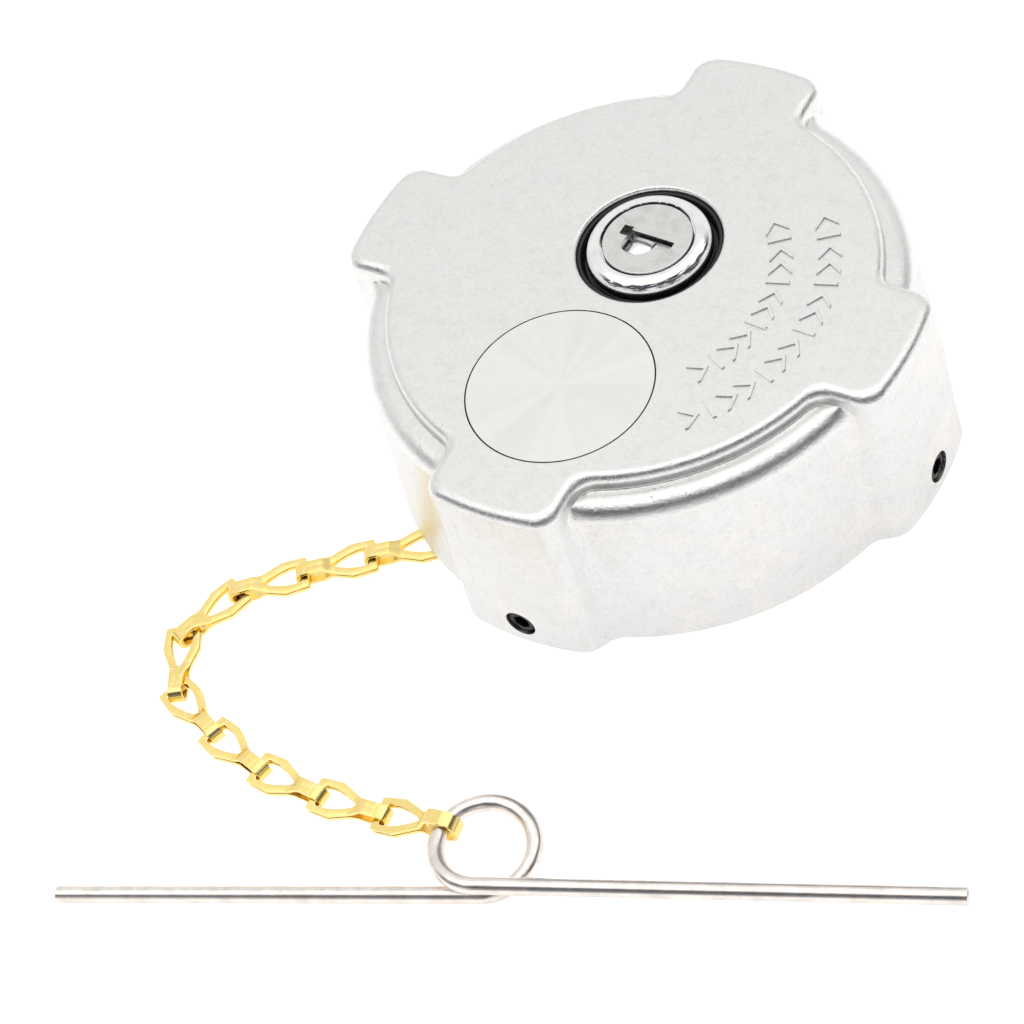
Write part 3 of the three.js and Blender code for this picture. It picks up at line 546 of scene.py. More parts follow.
CAST = cast_aluminium()
TURNED = turned_aluminium((0, DISC_Y))
CHROME = chrome("bright_chrome", 0.93, (0.03, 0.10))
SHUTTER_CHROME = chrome("shutter_chrome", 0.9, (0.22, 0.34))
SATIN = satin_chrome()
GOLD = brass()
STAINLESS = drawn_steel("stainless", (0.90, 0.835, 0.79, 1), (0.21, 0.27), 0.002)
ZINC = drawn_steel("zinc_plate", (0.68, 0.70, 0.72, 1), (0.22, 0.38), 0.012)
SPRING = drawn_steel("spring_steel", (0.36, 0.37, 0.40, 1), (0.2, 0.34))
BALL = chrome("ball_steel", 0.8, (0.05, 0.12))
BLACK_STEEL = black_oxide()
BLACK_RUBBER = black_moulding("black_rubber", (0.5, 0.75))
BLACK_SLEEVE = black_moulding("black_sleeve", (0.35, 0.5))
ACETAL = acetal()


# ---- Outer shell ----
def edge_inset(z, rounding):
    above = np.clip(z - (TOP_Z - rounding), 0, rounding)
    return rounding - np.sqrt(rounding**2 - above**2)


def inside_distance(r, angle, body_r, end_r, half_width):
    quarter = TURN / LUG_COUNT
    off_axis = angle - np.round(angle / quarter) * quarter
    along = r - (end_r - LUG_CORNER_R)
    across = np.abs(r * np.sin(off_axis)) - (half_width - LUG_CORNER_R)
    lug = np.minimum(np.maximum(along, across), 0) - LUG_CORNER_R
    lug = lug + np.hypot(np.maximum(along, 0), np.maximum(across, 0))
    body = r - body_r
    overlap = np.maximum(LUG_ROOT_FILLET - np.abs(lug - body), 0) / LUG_ROOT_FILLET
    return np.minimum(lug, body) - overlap**2 * LUG_ROOT_FILLET / 4


def outline_radius(angles, z, body_r, shrink=0.0):
    """Radius of the shell's outline in each direction, at a height where the round body has radius body_r."""
    drop = (TOP_Z - z) / CAP_HEIGHT
    inset = edge_inset(z, LUG_EDGE_ROUNDING) + shrink
    end_r = LUG_END_R[0] + (LUG_END_R[1] - LUG_END_R[0]) * drop - inset
    half_width = LUG_HALF_WIDTH[0] + (LUG_HALF_WIDTH[1] - LUG_HALF_WIDTH[0]) * drop - inset
    low = np.full(len(angles), TOP_FACE_R - LUG_ROOT_FILLET, float)
    high = np.full(len(angles), LUG_END_R[1] + LUG_ROOT_FILLET, float)
    halvings = 40
    for _ in range(halvings):
        middle = (low + high) / 2
        inner = inside_distance(middle, angles, body_r - shrink, end_r, half_width) < 0
        low = np.where(inner, middle, low)
        high = np.where(inner, high, middle)
    return low


def quarter_turn(steps):
    return [math.pi / 2 * k / steps for k in range(steps + 1)]


def skirt_rings():
    """(height, radius of the round body, shrink) of each ring from the rim's rounded foot to the shoulder."""
    foot = 0.8
    rows = 24
    rings = []
    for angle in reversed(quarter_turn(5)):
        rings.append((RIM_Z + foot * (1 - math.sin(angle)), SKIRT_R_BOTTOM, foot * (1 - math.cos(angle))))
    shoulder_out = LEDGE_R + SHOULDER_R
    for k in range(1, rows):
        z = RIM_Z + foot + (SHOULDER_Z - RIM_Z - foot) * k / rows
        share = (z - SHOULDER_Z) / (RIM_Z - SHOULDER_Z)
        rings.append((z, shoulder_out + (SKIRT_R_BOTTOM - shoulder_out) * share, 0))
    return rings


def top_rings():
    """The same for the shoulder, the groove at the ledge's inner edge and the top face's rounded rim."""
    wall_r = TOP_FACE_R + TOP_ROUNDING
    groove = 0.45
    groove_z = LEDGE_Z + 0.02
    rings = []
    for angle in quarter_turn(16):
        rings.append((SHOULDER_Z + SHOULDER_R * math.sin(angle), LEDGE_R + SHOULDER_R * math.cos(angle), 0))
    for angle in quarter_turn(5)[1:]:
        z = groove_z + groove * (1 - math.cos(angle))
        rings.append((z, wall_r + groove * (1 - math.sin(angle)), 0))
    rings.append((LEDGE_Z + 2 * groove, wall_r, 0))
    for angle in quarter_turn(12):
        z = TOP_Z - TOP_ROUNDING * (1 - math.sin(angle))
        rings.append((z, TOP_FACE_R + TOP_ROUNDING * math.cos(angle), 0))
    return rings


def even_angles(count):
    """Directions spread evenly along the shell's outline, so that the lugs' flanks get enough of them."""
    fine = np.linspace(0, TURN, 7201)
    radius = outline_radius(fine, (TOP_Z + RIM_Z) / 2, LEDGE_R + SHOULDER_R)
    steps = np.hypot(np.diff(radius), np.diff(fine) * radius[1:])
    length = np.concatenate([[0], np.cumsum(steps)])
    return np.interp(np.arange(count) * length[-1] / count, length, fine)


def shell_blank():
    """Body and lugs from the cavity's ceiling round the rim to the top face, without the holes."""
    columns = 880
    angles = even_angles(columns)
    unit = np.stack([np.cos(angles), np.sin(angles)], axis=1)
    rows = []
    slope, foot = 5, 0.5
    cavity = (
        (CAVITY_R - slope, CEILING_Z), (CAVITY_R, CEILING_Z - slope),
        (CAVITY_R, RIM_Z + foot), (CAVITY_R + foot, RIM_Z),
    )
    for r, z in cavity:
        rows.append(np.column_stack([unit * r, np.full(columns, z)]))
    for z, body_r, shrink in skirt_rings() + top_rings():
        radius = outline_radius(angles, z, body_r, shrink)
        rows.append(np.column_stack([unit * radius[:, None], np.full(columns, z)]))
    points = np.concatenate(rows)
    faces = grid_faces(len(rows), columns)
    last = (len(rows) - 1) * columns
    faces.append(tuple(reversed(range(columns))))
    faces.append(tuple(range(last, last + columns)))
    return make_mesh("outer_shell_cast", points, faces)


def flared_bore(name, place, radius, floor_z, flare):
    """A cutter for a round recess whose mouth is rounded over by flare."""
    corner, above = 0.4, TOP_Z + 3
    outline = [(0, floor_z), (radius - corner, floor_z), (radius, floor_z + corner)]
    for angle in quarter_turn(6):
        outline.append((radius + flare * (1 - math.cos(angle)), TOP_Z - flare * (1 - math.sin(angle))))
    outline += [(radius + flare, above), (0, above)]
    return lathe(name, [(r, z, 0) for r, z in outline], (place[0], place[1], 0), 144)


def screw_place(k):
    """Lays a piece turned about Z along the axis of lug k's set screw. It works on meshes in metres."""
    turn = Matrix.Rotation(TURN * k / LUG_COUNT, 4, "Z") @ Matrix.Rotation(math.pi / 2, 4, "Y")
    return Matrix.Translation((0, 0, SCREW_Z * MM)) @ turn


def screw_bores():
    start, end = CAVITY_R - 3, LUG_END_R[1] + 3
    outline = [(0, start, 0), (SCREW_HOLE_R, start, 0), (SCREW_HOLE_R, end, 0), (0, end, 0)]
    bores = []
    for k in range(LUG_COUNT):
        bore = lathe(f"bore_{k}", outline, segments=64)
        bore.data.transform(screw_place(k))
        bores.append(bore)
    return bores


def raised_mark(name, outline, radius, angle):
    """A small raised sign on the top face, from its outline along and across the ring it sits on."""
    sink = 0.3
    count = len(outline)
    centre = np.mean(outline, axis=0)
    cosine, sine = math.cos(angle), math.sin(angle)
    points = []
    for level, grow in ((-sink, 0.12), (MARK_HEIGHT * 0.55, 0.04), (MARK_HEIGHT, -0.12)):
        for along, out in outline:
            offset = np.array((along, out)) - centre
            y, x = centre + offset * (1 + grow / np.linalg.norm(offset))
            x += radius
            points.append((x * cosine - y * sine, x * sine + y * cosine, TOP_Z + level))
    faces = grid_faces(3, count)
    faces.append(tuple(reversed(range(count))))
    faces.append(tuple(range(2 * count, 3 * count)))
    obj = make_mesh(name, points, faces)
    merge_doubles(obj)
    return obj


def chevron(size, thick):
    """An arrow head that points along the ring."""
    tip, back = size * 0.42, -size * 0.2
    half = size / 2
    heel = back - thick
    return [(tip, 0), (back, half), (heel, half), (tip - thick * 1.3, 0), (heel, -half), (back, -half)]


def bar(length, width):
    x, y = length / 2, width / 2
    return [(x, y), (-x, y), (-x, -y), (x, -y)]


def turn_marks():
    """Two rings of plain direction marks on the +X side of the face."""
    marks = []
    for ring, (radius, first, last, count) in enumerate(MARK_RINGS):
        for k in range(count):
            angle = math.radians(first + (last - first) * k / (count - 1))
            shape = chevron(MARK_SIZE, MARK_STROKE) if k % 3 != 1 else bar(MARK_STROKE, MARK_SIZE)
            marks.append(raised_mark(f"mark_{ring}_{k}", shape, radius, angle))
    return marks


def outer_shell():
    shell = shell_blank()
    merge_doubles(shell, 0.001)
    recess = flared_bore("recess", (0, LOCK_Y), RECESS_R, RECESS_Z, 0.75)
    disc_bore = flared_bore("disc_bore", (0, DISC_Y), DISC_R + 0.12, TOP_Z - DISC_DEPTH, 0.12)
    hole_r, below = BARREL_R + CLEARANCE, 10
    outline = [(0, below, 0), (hole_r, below, 0), (hole_r, TOP_Z, 0), (0, TOP_Z, 0)]
    barrel = lathe("barrel", outline, (0, LOCK_Y, 0))
    boolean(shell, [recess, disc_bore, barrel] + screw_bores())
    boolean(shell, turn_marks(), "UNION")
    shade(shell, 30)
    dress(shell, "shell", "cast_shell", CAST, "outer_shell")


# ---- Cover disc, screws and lock ----
def cover_disc():
    edge = DISC_R - 0.1
    back = TOP_Z - DISC_DEPTH + CLEARANCE
    outline = [(0, back, 0), (edge, back, 0.2), (edge, TOP_Z, 0.12), (0, TOP_Z, 0)]
    disc = lathe("cover_disc_turned", outline, (0, DISC_Y, 0), 192)
    shade(disc)
    dress(disc, "shell", "turned_disc", TURNED, "cover_disc")


def screw_outline(head):
    """Pilot, thread and head end of a set screw, along its axis."""
    pilot_r = 1.5
    thread_pitch, thread_depth = 0.8, 0.3
    outline = [
        (0, INNER_R - 1.7, 0), (pilot_r, INNER_R - 1.7, 0.2), (pilot_r, INNER_R + 1, 0),
        (SCREW_R, INNER_R + 1.8, 0),
    ]
    z = INNER_R + 2.2
    while z < head - 1.2:
        outline += [(SCREW_R, z, 0), (SCREW_R - thread_depth, z + thread_pitch / 2, 0)]
        z += thread_pitch
    return outline + [(SCREW_R, head - 0.5, 0.15), (SCREW_R - 0.45, head, 0.1), (0, head, 0)]


def set_screws():
    head = LUG_END_R[1] - 0.6
    bottom, mouth = head - 2.8, head + 1
    hexagon = [(0, bottom, 0), (SCREW_SOCKET_R, bottom, 0), (SCREW_SOCKET_R, mouth, 0), (0, mouth, 0)]
    for k in range(LUG_COUNT):
        screw = lathe(f"set_screw_{k + 1}_threaded", screw_outline(head), segments=48)
        boolean(screw, [lathe("socket", hexagon, segments=6)])
        screw.data.transform(screw_place(k))
        shade(screw)
        dress(screw, "shell", "black_screws", BLACK_STEEL, f"set_screw_{k + 1}")


def lock_sleeve():
    """Black seal that lines the recess round the bezel."""
    inner = BARREL_R + CLEARANCE
    outer = RECESS_R - 0.12
    under, upper = RECESS_Z + 0.05, RECESS_Z + 0.75
    seal = lathe("lock_seal_ring", [
        (inner, under, 0), (RECESS_R - 0.55, under, 0.2), (outer, RECESS_Z + 0.5, 0.1),
        (outer, TOP_Z - 0.8, 0.15), (RECESS_R - 0.7, TOP_Z - 0.9, 0.2), (RECESS_R - 1.2, upper, 0.3),
        (inner, upper, 0),
    ], (0, LOCK_Y, 0))
    shade(seal)
    dress(seal, "shell", "black_rubber", BLACK_SLEEVE, "lock_seal")


def lock_housing():
    """Barrel with a domed bezel round the plug and a narrow flat land inside the dome."""
    foot = RECESS_Z + 1
    barrel_end = 14.5
    bore_r, bore_z = 6.8, TOP_Z - 1.4
    dome_width, dome_height = 2.4, 2.6
    dome = []
    for angle in np.linspace(0, math.pi / 2, 15):
        r = BEZEL_R - dome_width * (1 - math.cos(angle))
        dome.append((r, PLUG_TOP_Z - dome_height * (1 - math.sin(angle)), 0))
    gap_r = PLUG_R + 0.35
    body = lathe("lock_housing_domed", [
        (bore_r, barrel_end, 0), (BARREL_R, barrel_end, 0.3), (BARREL_R, foot, 0.1), (BEZEL_R, foot, 0.25),
        *dome, (gap_r + 0.15, PLUG_TOP_Z, 0), (gap_r, PLUG_TOP_Z - 0.15, 0),
        (gap_r, bore_z, 0), (bore_r, bore_z, 0),
    ], (0, LOCK_Y, 0), 160)
    shade(body)
    dress(body, "shell", "lock_chrome", CHROME, "lock_housing")


def prism(name, outline, low_x, high_x):
    """A bar along X whose section is a closed outline of (y, z) points."""
    count = len(outline)
    points = [(x, y, z) for x in (low_x, high_x) for y, z in outline]
    faces = grid_faces(2, count)
    faces.append(tuple(reversed(range(count))))
    faces.append(tuple(range(count, 2 * count)))
    obj = make_mesh(name, points, faces)
    merge_doubles(obj)
    return obj


def keyway_cutters():
    """Keyway with its narrowed mouth, the notch at its end, and the shutter's window beside it."""
    face, half = PLUG_TOP_Z, SLOT_LENGTH / 2
    edge, lip = SLOT_WIDTH / 2, 0.3
    slot_floor, above = 16.5, face + 1
    slot = prism("slot", [
        (edge, slot_floor), (edge, above), (-edge, above), (-edge, face), (lip, face - 0.7),
        (lip, slot_floor),
    ], -half, half)
    notch = box("notch", (-half - 0.25, -0.6, face - 3.5), (-half + 1.7, edge + 0.7, above))
    window_r, window_floor = 3.7, face - 7
    outline = [(0, window_floor, 0), (window_r, window_floor, 0), (window_r, above, 0), (0, above, 0)]
    window = lathe("window", outline, (SHUTTER_X, 0, 0), 64)
    window.data.transform(Matrix.Diagonal((1, 0.95, 1, 1)))
    window.data.transform(Matrix.Translation((0, -edge * MM, 0)))
    lower_side = box("lower_side", (-4, -6, face - 8), (6, 0, face + 2))
    boolean(window, [lower_side], "INTERSECT")
    return [slot, notch, window]


def lock_plug():
    tail_r, tail_z = 3, 14.2
    core_r, head_z = 6.5, TOP_Z - 1.1
    plug = lathe("lock_plug_slotted", [
        (0, 9.9, 0), (tail_r, 9.9, 0.3), (tail_r, tail_z, 0), (core_r, tail_z, 0.4), (core_r, head_z, 0),
        (PLUG_R, head_z, 0.1), (PLUG_R, PLUG_TOP_Z, 0.3), (0, PLUG_TOP_Z, 0),
    ], segments=160)
    boolean(plug, keyway_cutters())
    bevel(plug, 0.09, 2, 40)
    settle_modifiers(plug)
    place_mesh(plug, PLUG_PLACE)
    shade(plug, 35)
    dress(plug, "plug", "lock_satin", SATIN, "lock_plug")


def plate_border(columns, rows):
    """Point numbers round the edge of a grid with columns + 1 points in each of rows + 1 lines."""
    line = columns + 1
    border = list(range(line))
    border += [j * line + columns for j in range(1, rows + 1)]
    border += [rows * line + i for i in range(columns - 1, -1, -1)]
    border += [j * line for j in range(rows - 1, 0, -1)]
    return border


def crowned_plate(name, width, length, thick, crown):
    """A plate with a flat back and a crowned face, hinged on its near edge."""
    columns, rows = 14, 12
    line = columns + 1
    points = []
    for level in (0, 1):
        for j in range(rows + 1):
            for i in range(line):
                u = 2 * i / columns - 1
                v = 2 * j / rows - 1
                z = crown * (1 - u * u) * (1 - 0.6 * v * v) if level else -thick / 2
                points.append((u * width / 2, (v + 1) / 2 * length, z))
    size = line * (rows + 1)
    faces = []
    for j in range(rows):
        for i in range(columns):
            a = j * line + i
            ring = (a, a + 1, a + line + 1, a + line)
            faces.append(tuple(reversed(ring)))
            faces.append(tuple(size + k for k in ring))
    border = plate_border(columns, rows)
    for k, a in enumerate(border):
        b = border[(k + 1) % len(border)]
        faces.append((a, b, b + size, a + size))
    return make_mesh(name, points, faces)


def keyway_shutter():
    """Sprung flap with a crowned face under the plug's window."""
    flap = crowned_plate("keyway_shutter_crowned", 4.6, 3.4, 0.6, 0.75)
    merge_doubles(flap)
    pivot = Matrix.Translation((SHUTTER_X, -SLOT_WIDTH / 2 - 2.5, PLUG_TOP_Z - 1.6))
    place_mesh(flap, PLUG_PLACE @ pivot)
    shade(flap, 50)
    dress(flap, "shutter", "lock_chrome", SHUTTER_CHROME, "keyway_shutter")


# ---- Inside the cap ----
def neck_gasket():
    inner, outer = GASKET_R
    gasket = lathe("neck_gasket_ring", [
        (inner, 0, 0.3), (outer, 0, 0.5), (outer, GASKET_THICK, 0.3), (inner, GASKET_THICK, 0.2),
    ])
    shade(gasket)
    dress(gasket, "root", "black_rubber", BLACK_RUBBER, "neck_gasket")


def plain_inner_parts():
    """Inner parts whose CAD mesh is right as it is get their finish."""
    finishes = {
        "inner_cap": CAST, "gasket_retainer": ZINC, "lock_nut": ZINC, "lock_cam": ZINC, "drive_bolt": ZINC,
        "bolt_guide": ZINC, "chain_swivel": GOLD,
    }
    for name, material in finishes.items():
        node = frame["nodes"][name]
        node.data.materials.clear()
        node.data.materials.append(material)


def axis_place(name):
    low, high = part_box(name)
    return (low + high) / 2 / MM


def rivets():
    foot, top = RETAINER_Z - CLEARANCE, 6.3
    shank_r, head_r = 1.6, 3
    outline = [
        (0, foot - 1.2, 0), (1.9, foot - 1, 0.9), (head_r, foot, 0.15), (shank_r, foot, 0),
        (shank_r, top, 0), (head_r, top, 0.2), (2.2, top + 0.9, 0.5), (0, top + 1.1, 0),
    ]
    for k in range(3):
        name = f"retainer_rivet_{k + 1}"
        x, y, _ = axis_place(name)
        body = lathe(name + "_domed", outline, (x, y, 0), 48)
        shade(body)
        dress(body, "root", "zinc_steel", ZINC, name)


def vent_parts():
    x, y, _ = axis_place("vent_body")
    body = lathe("vent_body_turned", [
        (1.4, -1.6, 0.2), (4, -1.6, 0.3), (4, 6.3, 0), (5.5, 6.3, 0.2), (5.5, 7.8, 0.3), (1.2, 7.8, 0.1),
        (1.2, 7.3, 0), (2.5, 7.3, 0), (2.5, -0.5, 0), (1.4, -0.5, 0.1),
    ], (x, y, 0), 64)
    shade(body)
    dress(body, "root", "chain_brass", GOLD, "vent_body")
    half_turn = np.linspace(-math.pi / 2, math.pi / 2, 33)
    half_circle = [(VENT_BALL_R * math.cos(a), VENT_BALL_R * math.sin(a), 0) for a in half_turn]
    ball = lathe("vent_ball_ground", half_circle, (x, y, VENT_BALL_Z), 48)
    shade(ball, 60)
    dress(ball, "vent_ball", "ball_steel", BALL, "vent_ball")


def coil(radius, low, high, turns, steps):
    angles = np.linspace(0, turns * TURN, int(turns * steps) + 1)
    rise = np.linspace(low, high, len(angles))
    return np.column_stack([radius * np.cos(angles), radius * np.sin(angles), rise])


def springs():
    path = coil(RETURN_COIL_R, *RETURN_COIL_Z, 2.4, 48)
    spring = sweep("return_spring_coil", path, RETURN_WIRE_R, 16, 0.1)
    shade(spring)
    dress(spring, "thrust", "spring_steel", SPRING, "return_spring")
    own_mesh(spring)
    x, y, _ = axis_place("vent_spring")
    path = coil(VENT_COIL_R, *VENT_COIL_Z, 3, 32) + np.array((x, y, 0))
    small = sweep("vent_spring_coil", path, VENT_WIRE_R, 12, 0.05)
    shade(small)
    dress(small, "root", "spring_steel", SPRING, "vent_spring")
    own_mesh(small)


def thrust_washer():
    inner, outer = WASHER_R
    low, high = WASHER_Z
    washer = lathe("thrust_washer_ring", [
        (inner, low, 0.2), (outer, low, 0.2), (outer, high, 0.2), (inner, high, 0.2),
    ])
    shade(washer)
    dress(washer, "thrust", "white_acetal", ACETAL, "thrust_washer")


# ---- Chain ----
def smooth(x, low, high):
    t = np.clip((np.asarray(x, float) - low) / (high - low), 0, 1)
    return t * t * (3 - 2 * t)


# (distance from the hinge, half width) along the strip's edge and along its hole.
LEAF_EDGE = (
    (-BAR_HALF, LINK_HALF_WIDTH - 0.2), (-BAR_HALF + 0.2, LINK_HALF_WIDTH), (4.4, LINK_HALF_WIDTH + 0.25),
    (9.6, NECK_HALF_WIDTH + 0.15), (11, NECK_HALF_WIDTH), (PITCH, NECK_HALF_WIDTH),
)
HOLE_END = 9
HOLE_EDGE = (
    (BAR_HALF, 0), (0.65, 1.5), (0.85, 2.05), (1.3, 2.3), (3.2, 2.3), (5, 1.9), (7, 1.15), (8.6, 0.35),
    (HOLE_END, 0),
)


def leaf_half_width(x):
    return np.interp(x, [p[0] for p in LEAF_EDGE], [p[1] for p in LEAF_EDGE])


def hole_half_width(x):
    """Teardrop: square with round corners at the hinge bar, sides that close towards the neck."""
    return np.interp(x, [p[0] for p in HOLE_EDGE], [p[1] for p in HOLE_EDGE], 0, 0)


def fold_path(eye_r):
    """The strip's middle line from the side: in along the lower leaf, round the neck, out along the upper."""
    bar_level = 0.1
    ramp = (8.0, 11.0) if eye_r < END_EYE_R else (8.8, 11.8)
    xs = np.concatenate([
        np.linspace(-BAR_HALF, BAR_HALF, 4)[:-1],
        BAR_HALF + (1 - np.cos(np.linspace(0, math.pi / 2, 7))) * 0.9,
        np.linspace(1.5, 8.6, 26)[1:],
        np.linspace(8.6, HOLE_END, 4)[1:],
        np.linspace(HOLE_END, PITCH - 0.4, 24)[1:],
    ])
    level = bar_level + (eye_r - bar_level) * smooth(xs, *ramp) + STRIP / 2
    centre = PITCH + EYE_FORWARD
    radius = eye_r + STRIP / 2
    arc = [(centre + radius * math.sin(a), -radius * math.cos(a)) for a in np.linspace(0, math.pi, 25)]
    lower = [(x, -z) for x, z in zip(xs, level)]
    upper = list(zip(xs[::-1], level[::-1]))
    return np.array(lower + arc + upper)


def strip_points(path, across):
    """A row of points at each step of the path, across both slightly crowned rails from edge to edge."""
    points = []
    for x, z in path:
        outer = float(leaf_half_width(min(x, PITCH)))
        inner = float(hole_half_width(x))
        half = np.linspace(inner, outer, across)
        crown = 0.03 * (1 - ((half - inner) / (outer - inner) * 2 - 1) ** 2) * math.copysign(1, z)
        if x >= PITCH - 1:
            crown = crown * 0
        points += [(x, -half[i], z + crown[i]) for i in reversed(range(across))]
        points += [(x, half[i], z + crown[i]) for i in range(across)]
    return points


def close_strip(obj, path, across):
    """Joins the two rails along the middle where the strip has no hole."""
    work = bmesh.new()
    work.from_mesh(obj.data)
    work.verts.ensure_lookup_table()
    pairs = {}
    for row, (x, _) in enumerate(path):
        if hole_half_width(x) < 1e-6:
            right = row * 2 * across + across
            pairs[work.verts[right]] = work.verts[right - 1]
    bmesh.ops.weld_verts(work, targetmap=pairs)
    bmesh.ops.recalc_face_normals(work, faces=work.faces)
    work.to_mesh(obj.data)
    work.free()


def link_strip(name, eye_r):
    """One folded strip: two rails round the hole, a hinge bar at the open end and the folded neck."""
    path = fold_path(eye_r)
    across = 7
    columns = 2 * across
    faces = grid_faces(len(path), columns, close_columns=False)
    rails = [face for index, face in enumerate(faces) if index % (columns - 1) != across - 1]
    obj = make_mesh(name, strip_points(path, across), rails)
    close_strip(obj, path, across)
    thick = obj.modifiers.new("thickness", "SOLIDIFY")
    thick.thickness = (STRIP - 0.04) * MM
    thick.offset = 0
    thick.use_even_offset = True
    bevel(obj, 0.09, 3, 50)
    settle_modifiers(obj)
    shade(obj, 40)
    return obj


def joint_named(name):
    return next(joint for joint in frame["joints"] if joint["name"] == name)


def link_frame(number):
    """Row-frame placement of a link: its origin is its hinge, its length points at the next hinge."""
    joint = joint_named(f"link_{number:02d}_hinge")
    after = joint_named(f"link_{number + 1:02d}_hinge" if number < LINK_COUNT else "wire_hinge")
    start = Vector(joint["pos_m"]) / MM
    across = Vector(joint["axis"]).normalized()
    along = Vector(after["pos_m"]) / MM - start
    along -= along.dot(across) * across
    along.normalize()
    normal = along.cross(across)
    if normal.z < 0:
        across, normal = -across, -normal
    turn = Matrix((along, across, normal)).transposed().to_4x4()
    return Matrix.Translation(start) @ turn


def chain():
    for number in range(1, LINK_COUNT + 1):
        eye_r = END_EYE_R if number == LINK_COUNT else EYE_R
        node = f"link_{number:02d}"
        link = link_strip(node + "_folded", eye_r)
        place_mesh(link, link_frame(number))
        dress(link, node, "chain_brass", GOLD, node)


# ---- Wire ----
def wire_path():
    """Arm, one full turn of the loop that climbs over itself, and the other arm, which settles back down."""
    left = [(x, -LOOP_R, 0) for x in np.linspace(-WIRE_LEFT, -1, 30)]
    loop = []
    for turn in np.linspace(0, TURN, 120):
        rise = WIRE_RISE * float(smooth(turn, 0, TURN))
        loop.append((LOOP_R * math.sin(turn), -LOOP_R * math.cos(turn), rise))
    right = [(x, -LOOP_R, WIRE_RISE * (1 - x / WIRE_RIGHT)) for x in np.linspace(1, WIRE_RIGHT, 30)]
    return np.array(left + loop + right)


def table_frame():
    """The table under it all: it touches the lugs at +X and +Y and slopes down under the chain's side."""
    crossing = 50
    push_travel = 1.5
    tilt = math.atan((2 * (EYE_R + STRIP) + push_travel + CLEARANCE) / (2 * crossing))
    reach = crossing / math.sqrt(2)
    turn = Matrix.Rotation(tilt, 4, Vector((1, -1, 0)))
    return Matrix.Translation((reach, reach, RIM_Z)) @ turn @ Matrix.Translation((-reach, -reach, 0))


def wire_frame():
    """On the table, with the loop's side through the last link's neck."""
    table = table_frame()
    flat = table.inverted()
    start = flat @ (Vector(joint_named(f"link_{LINK_COUNT:02d}_hinge")["pos_m"]) / MM)
    neck = flat @ (Vector(joint_named("wire_hinge")["pos_m"]) / MM)
    heading = math.atan2(neck.y - start.y, neck.x - start.x)
    reach = PITCH + EYE_FORWARD
    centre_x = start.x + reach * math.cos(heading) - LOOP_R * math.cos(LOOP_NECK_SIDE)
    centre_y = start.y + reach * math.sin(heading) - LOOP_R * math.sin(LOOP_NECK_SIDE)
    return table @ Matrix.Translation((centre_x, centre_y, WIRE_R)) @ Matrix.Rotation(WIRE_HEADING, 4, "Z")


def retaining_wire():
    wire = sweep("retaining_wire_drawn", wire_path(), WIRE_R, 40, 0.25)
    place_mesh(wire, wire_frame())
    shade(wire)
    dress(wire, "wire", "wire_stainless", STAINLESS, "retaining_wire")


# ---- Studio ----
class Sky(Surface):
    """The world's background, with the same shorthand nodes over directions."""

    def __init__(self, world):
        self.tree = world.node_tree
        self.place = self.node("ShaderNodeTexCoord").outputs["Generated"]

    def levels(self, source, stops):
        """Nearly neutral levels, faintly warm where bright and faintly blue where dark."""
        made = self.node("ShaderNodeValToRGB")
        self.link(source, made.inputs[0])
        for k, (place, level) in enumerate(stops):
            stop = made.color_ramp.elements[k] if k < 2 else made.color_ramp.elements.new(place)
            stop.position = place
            stop.color = (level, level * 0.988 + 0.004, level * 0.958 + 0.014, 1)
        return made.outputs[0]


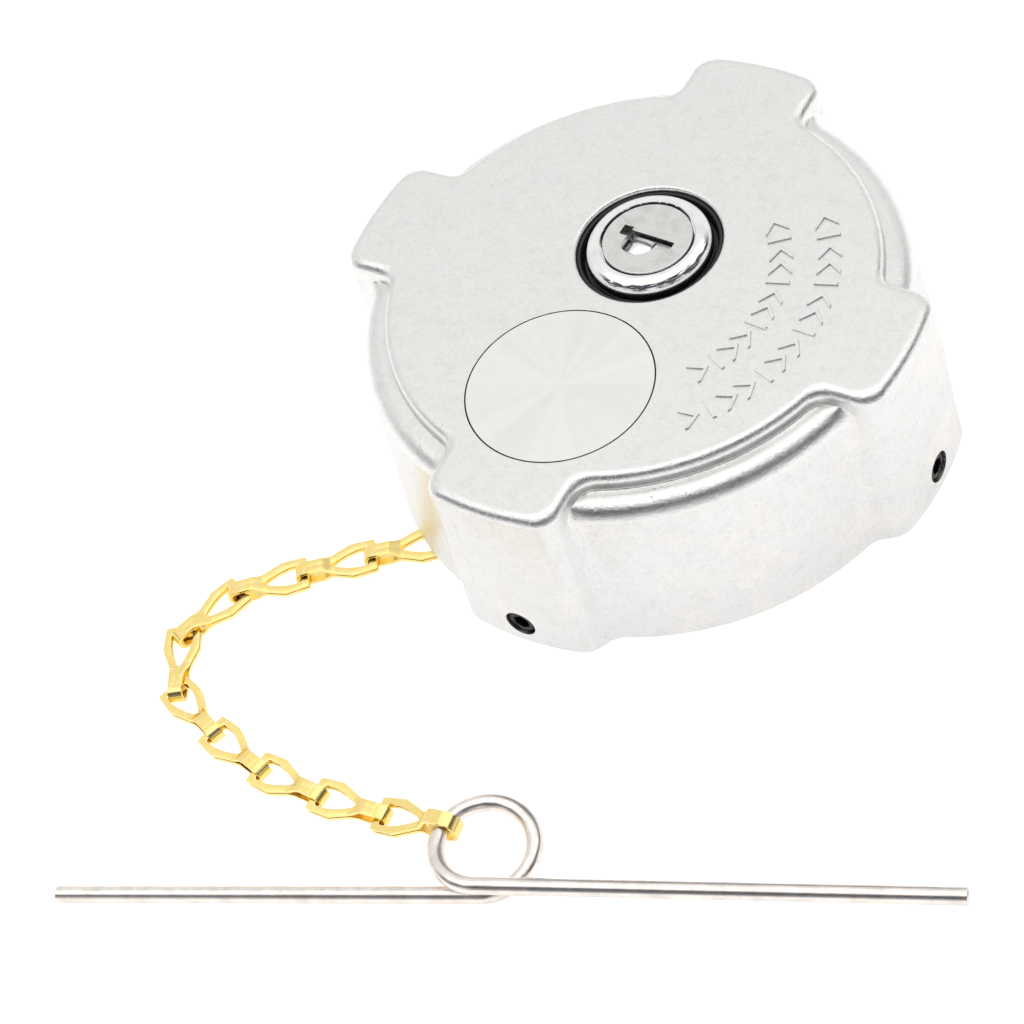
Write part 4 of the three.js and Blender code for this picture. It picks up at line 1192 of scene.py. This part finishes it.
def studio_world():
    """Bright overhead light, softer light behind, and a dark room on the camera's side for the edges."""
    world = bpy.data.worlds.new("studio")
    bpy.context.scene.world = world
    world.use_nodes = True
    s = Sky(world)
    up = s.axes()[2]
    toward = s.node("ShaderNodeVectorMath", operation="DOT_PRODUCT")
    s.link(s.place, toward.inputs[0])
    toward.inputs[1].default_value = CAMERA_SIDE
    facing = toward.outputs["Value"]
    lean = s.math("ADD", s.math("MULTIPLY", s.math("MAXIMUM", facing, 0.0), 1.4), 1.0)
    clutter = s.math("MULTIPLY", s.math("SUBTRACT", s.noise(280, 4, 0.65), 0.5), 1.4)
    height = s.math("ADD", s.math("DIVIDE", up, lean), s.math("MULTIPLY", clutter, s.ramp(up, 0.02, 0.2)))
    front = s.levels(height, (
        (0, 0.44), (0.06, 0.40), (0.13, 0.24), (0.24, 0.04), (0.44, 0.03), (0.54, 0.24), (0.60, 0.62),
        (0.66, 0.82), (0.9, 0.80), (1, 0.68),
    ))
    back = s.levels(up, ((0, 0.42), (0.3, 0.46), (0.75, 0.455), (0.86, 0.64), (0.91, 0.72), (1, 0.70)))
    light = s.blend(s.ramp(facing, -0.55, -0.1, 1.0, 0.0), front, back)
    background = s.tree.nodes["Background"]
    s.link(light, background.inputs["Color"])
    background.inputs["Strength"].default_value = SKY_STRENGTH


def floor():
    """Plain white table top, kept just below what stands on it."""
    half = FLOOR_HALF
    corners = [(-half, -half, 0), (half, -half, 0), (half, half, 0), (-half, half, 0)]
    plane = make_mesh("floor", corners, [(0, 1, 2, 3)])
    place_mesh(plane, table_frame() @ Matrix.Translation((0, 0, -FLOOR_DROP)))
    s = Surface("white_table")
    tone = s.blend(s.ramp(s.noise(60, 2), 0.3, 0.7), gray(0.92), gray(0.90))
    s.set(Base_Color=tone, Roughness=0.6, Specular_IOR_Level=0.2)
    camera_ray = s.node("ShaderNodeLightPath").outputs["Is Camera Ray"]
    glow = s.math("ADD", s.math("MULTIPLY", camera_ray, FLOOR_GLOW_SEEN - FLOOR_GLOW), FLOOR_GLOW)
    s.set(Emission_Color=gray(1.0), Emission_Strength=glow)
    plane.data.materials.append(s.material)


def camera():
    """Looks down across the lock side from the front right, rolled a little clockwise."""
    data = bpy.data.cameras.new("camera")
    data.sensor_width = CAMERA_SENSOR
    data.lens = CAMERA_LENS
    obj = bpy.data.objects.new("camera", data)
    bpy.context.scene.collection.objects.link(obj)
    obj.location = Vector(CAMERA_PLACE) * MM
    target = Vector(CAMERA_TARGET) * MM
    roll = Matrix.Rotation(CAMERA_ROLL, 4, "Z").to_quaternion()
    obj.rotation_mode = "QUATERNION"
    obj.rotation_quaternion = (target - obj.location).to_track_quat("-Z", "Y") @ roll
    bpy.context.scene.camera = obj


def studio():
    studio_world()
    floor()
    camera()
    view = bpy.context.scene.view_settings
    view.view_transform = "Standard"
    view.look = "None"
    view.exposure = 0.0


# ---- Assembly ----
outer_shell()
cover_disc()
set_screws()
lock_sleeve()
lock_housing()
lock_plug()
keyway_shutter()
neck_gasket()
rivets()
vent_parts()
springs()
thrust_washer()
plain_inner_parts()
chain()
retaining_wire()
studio()
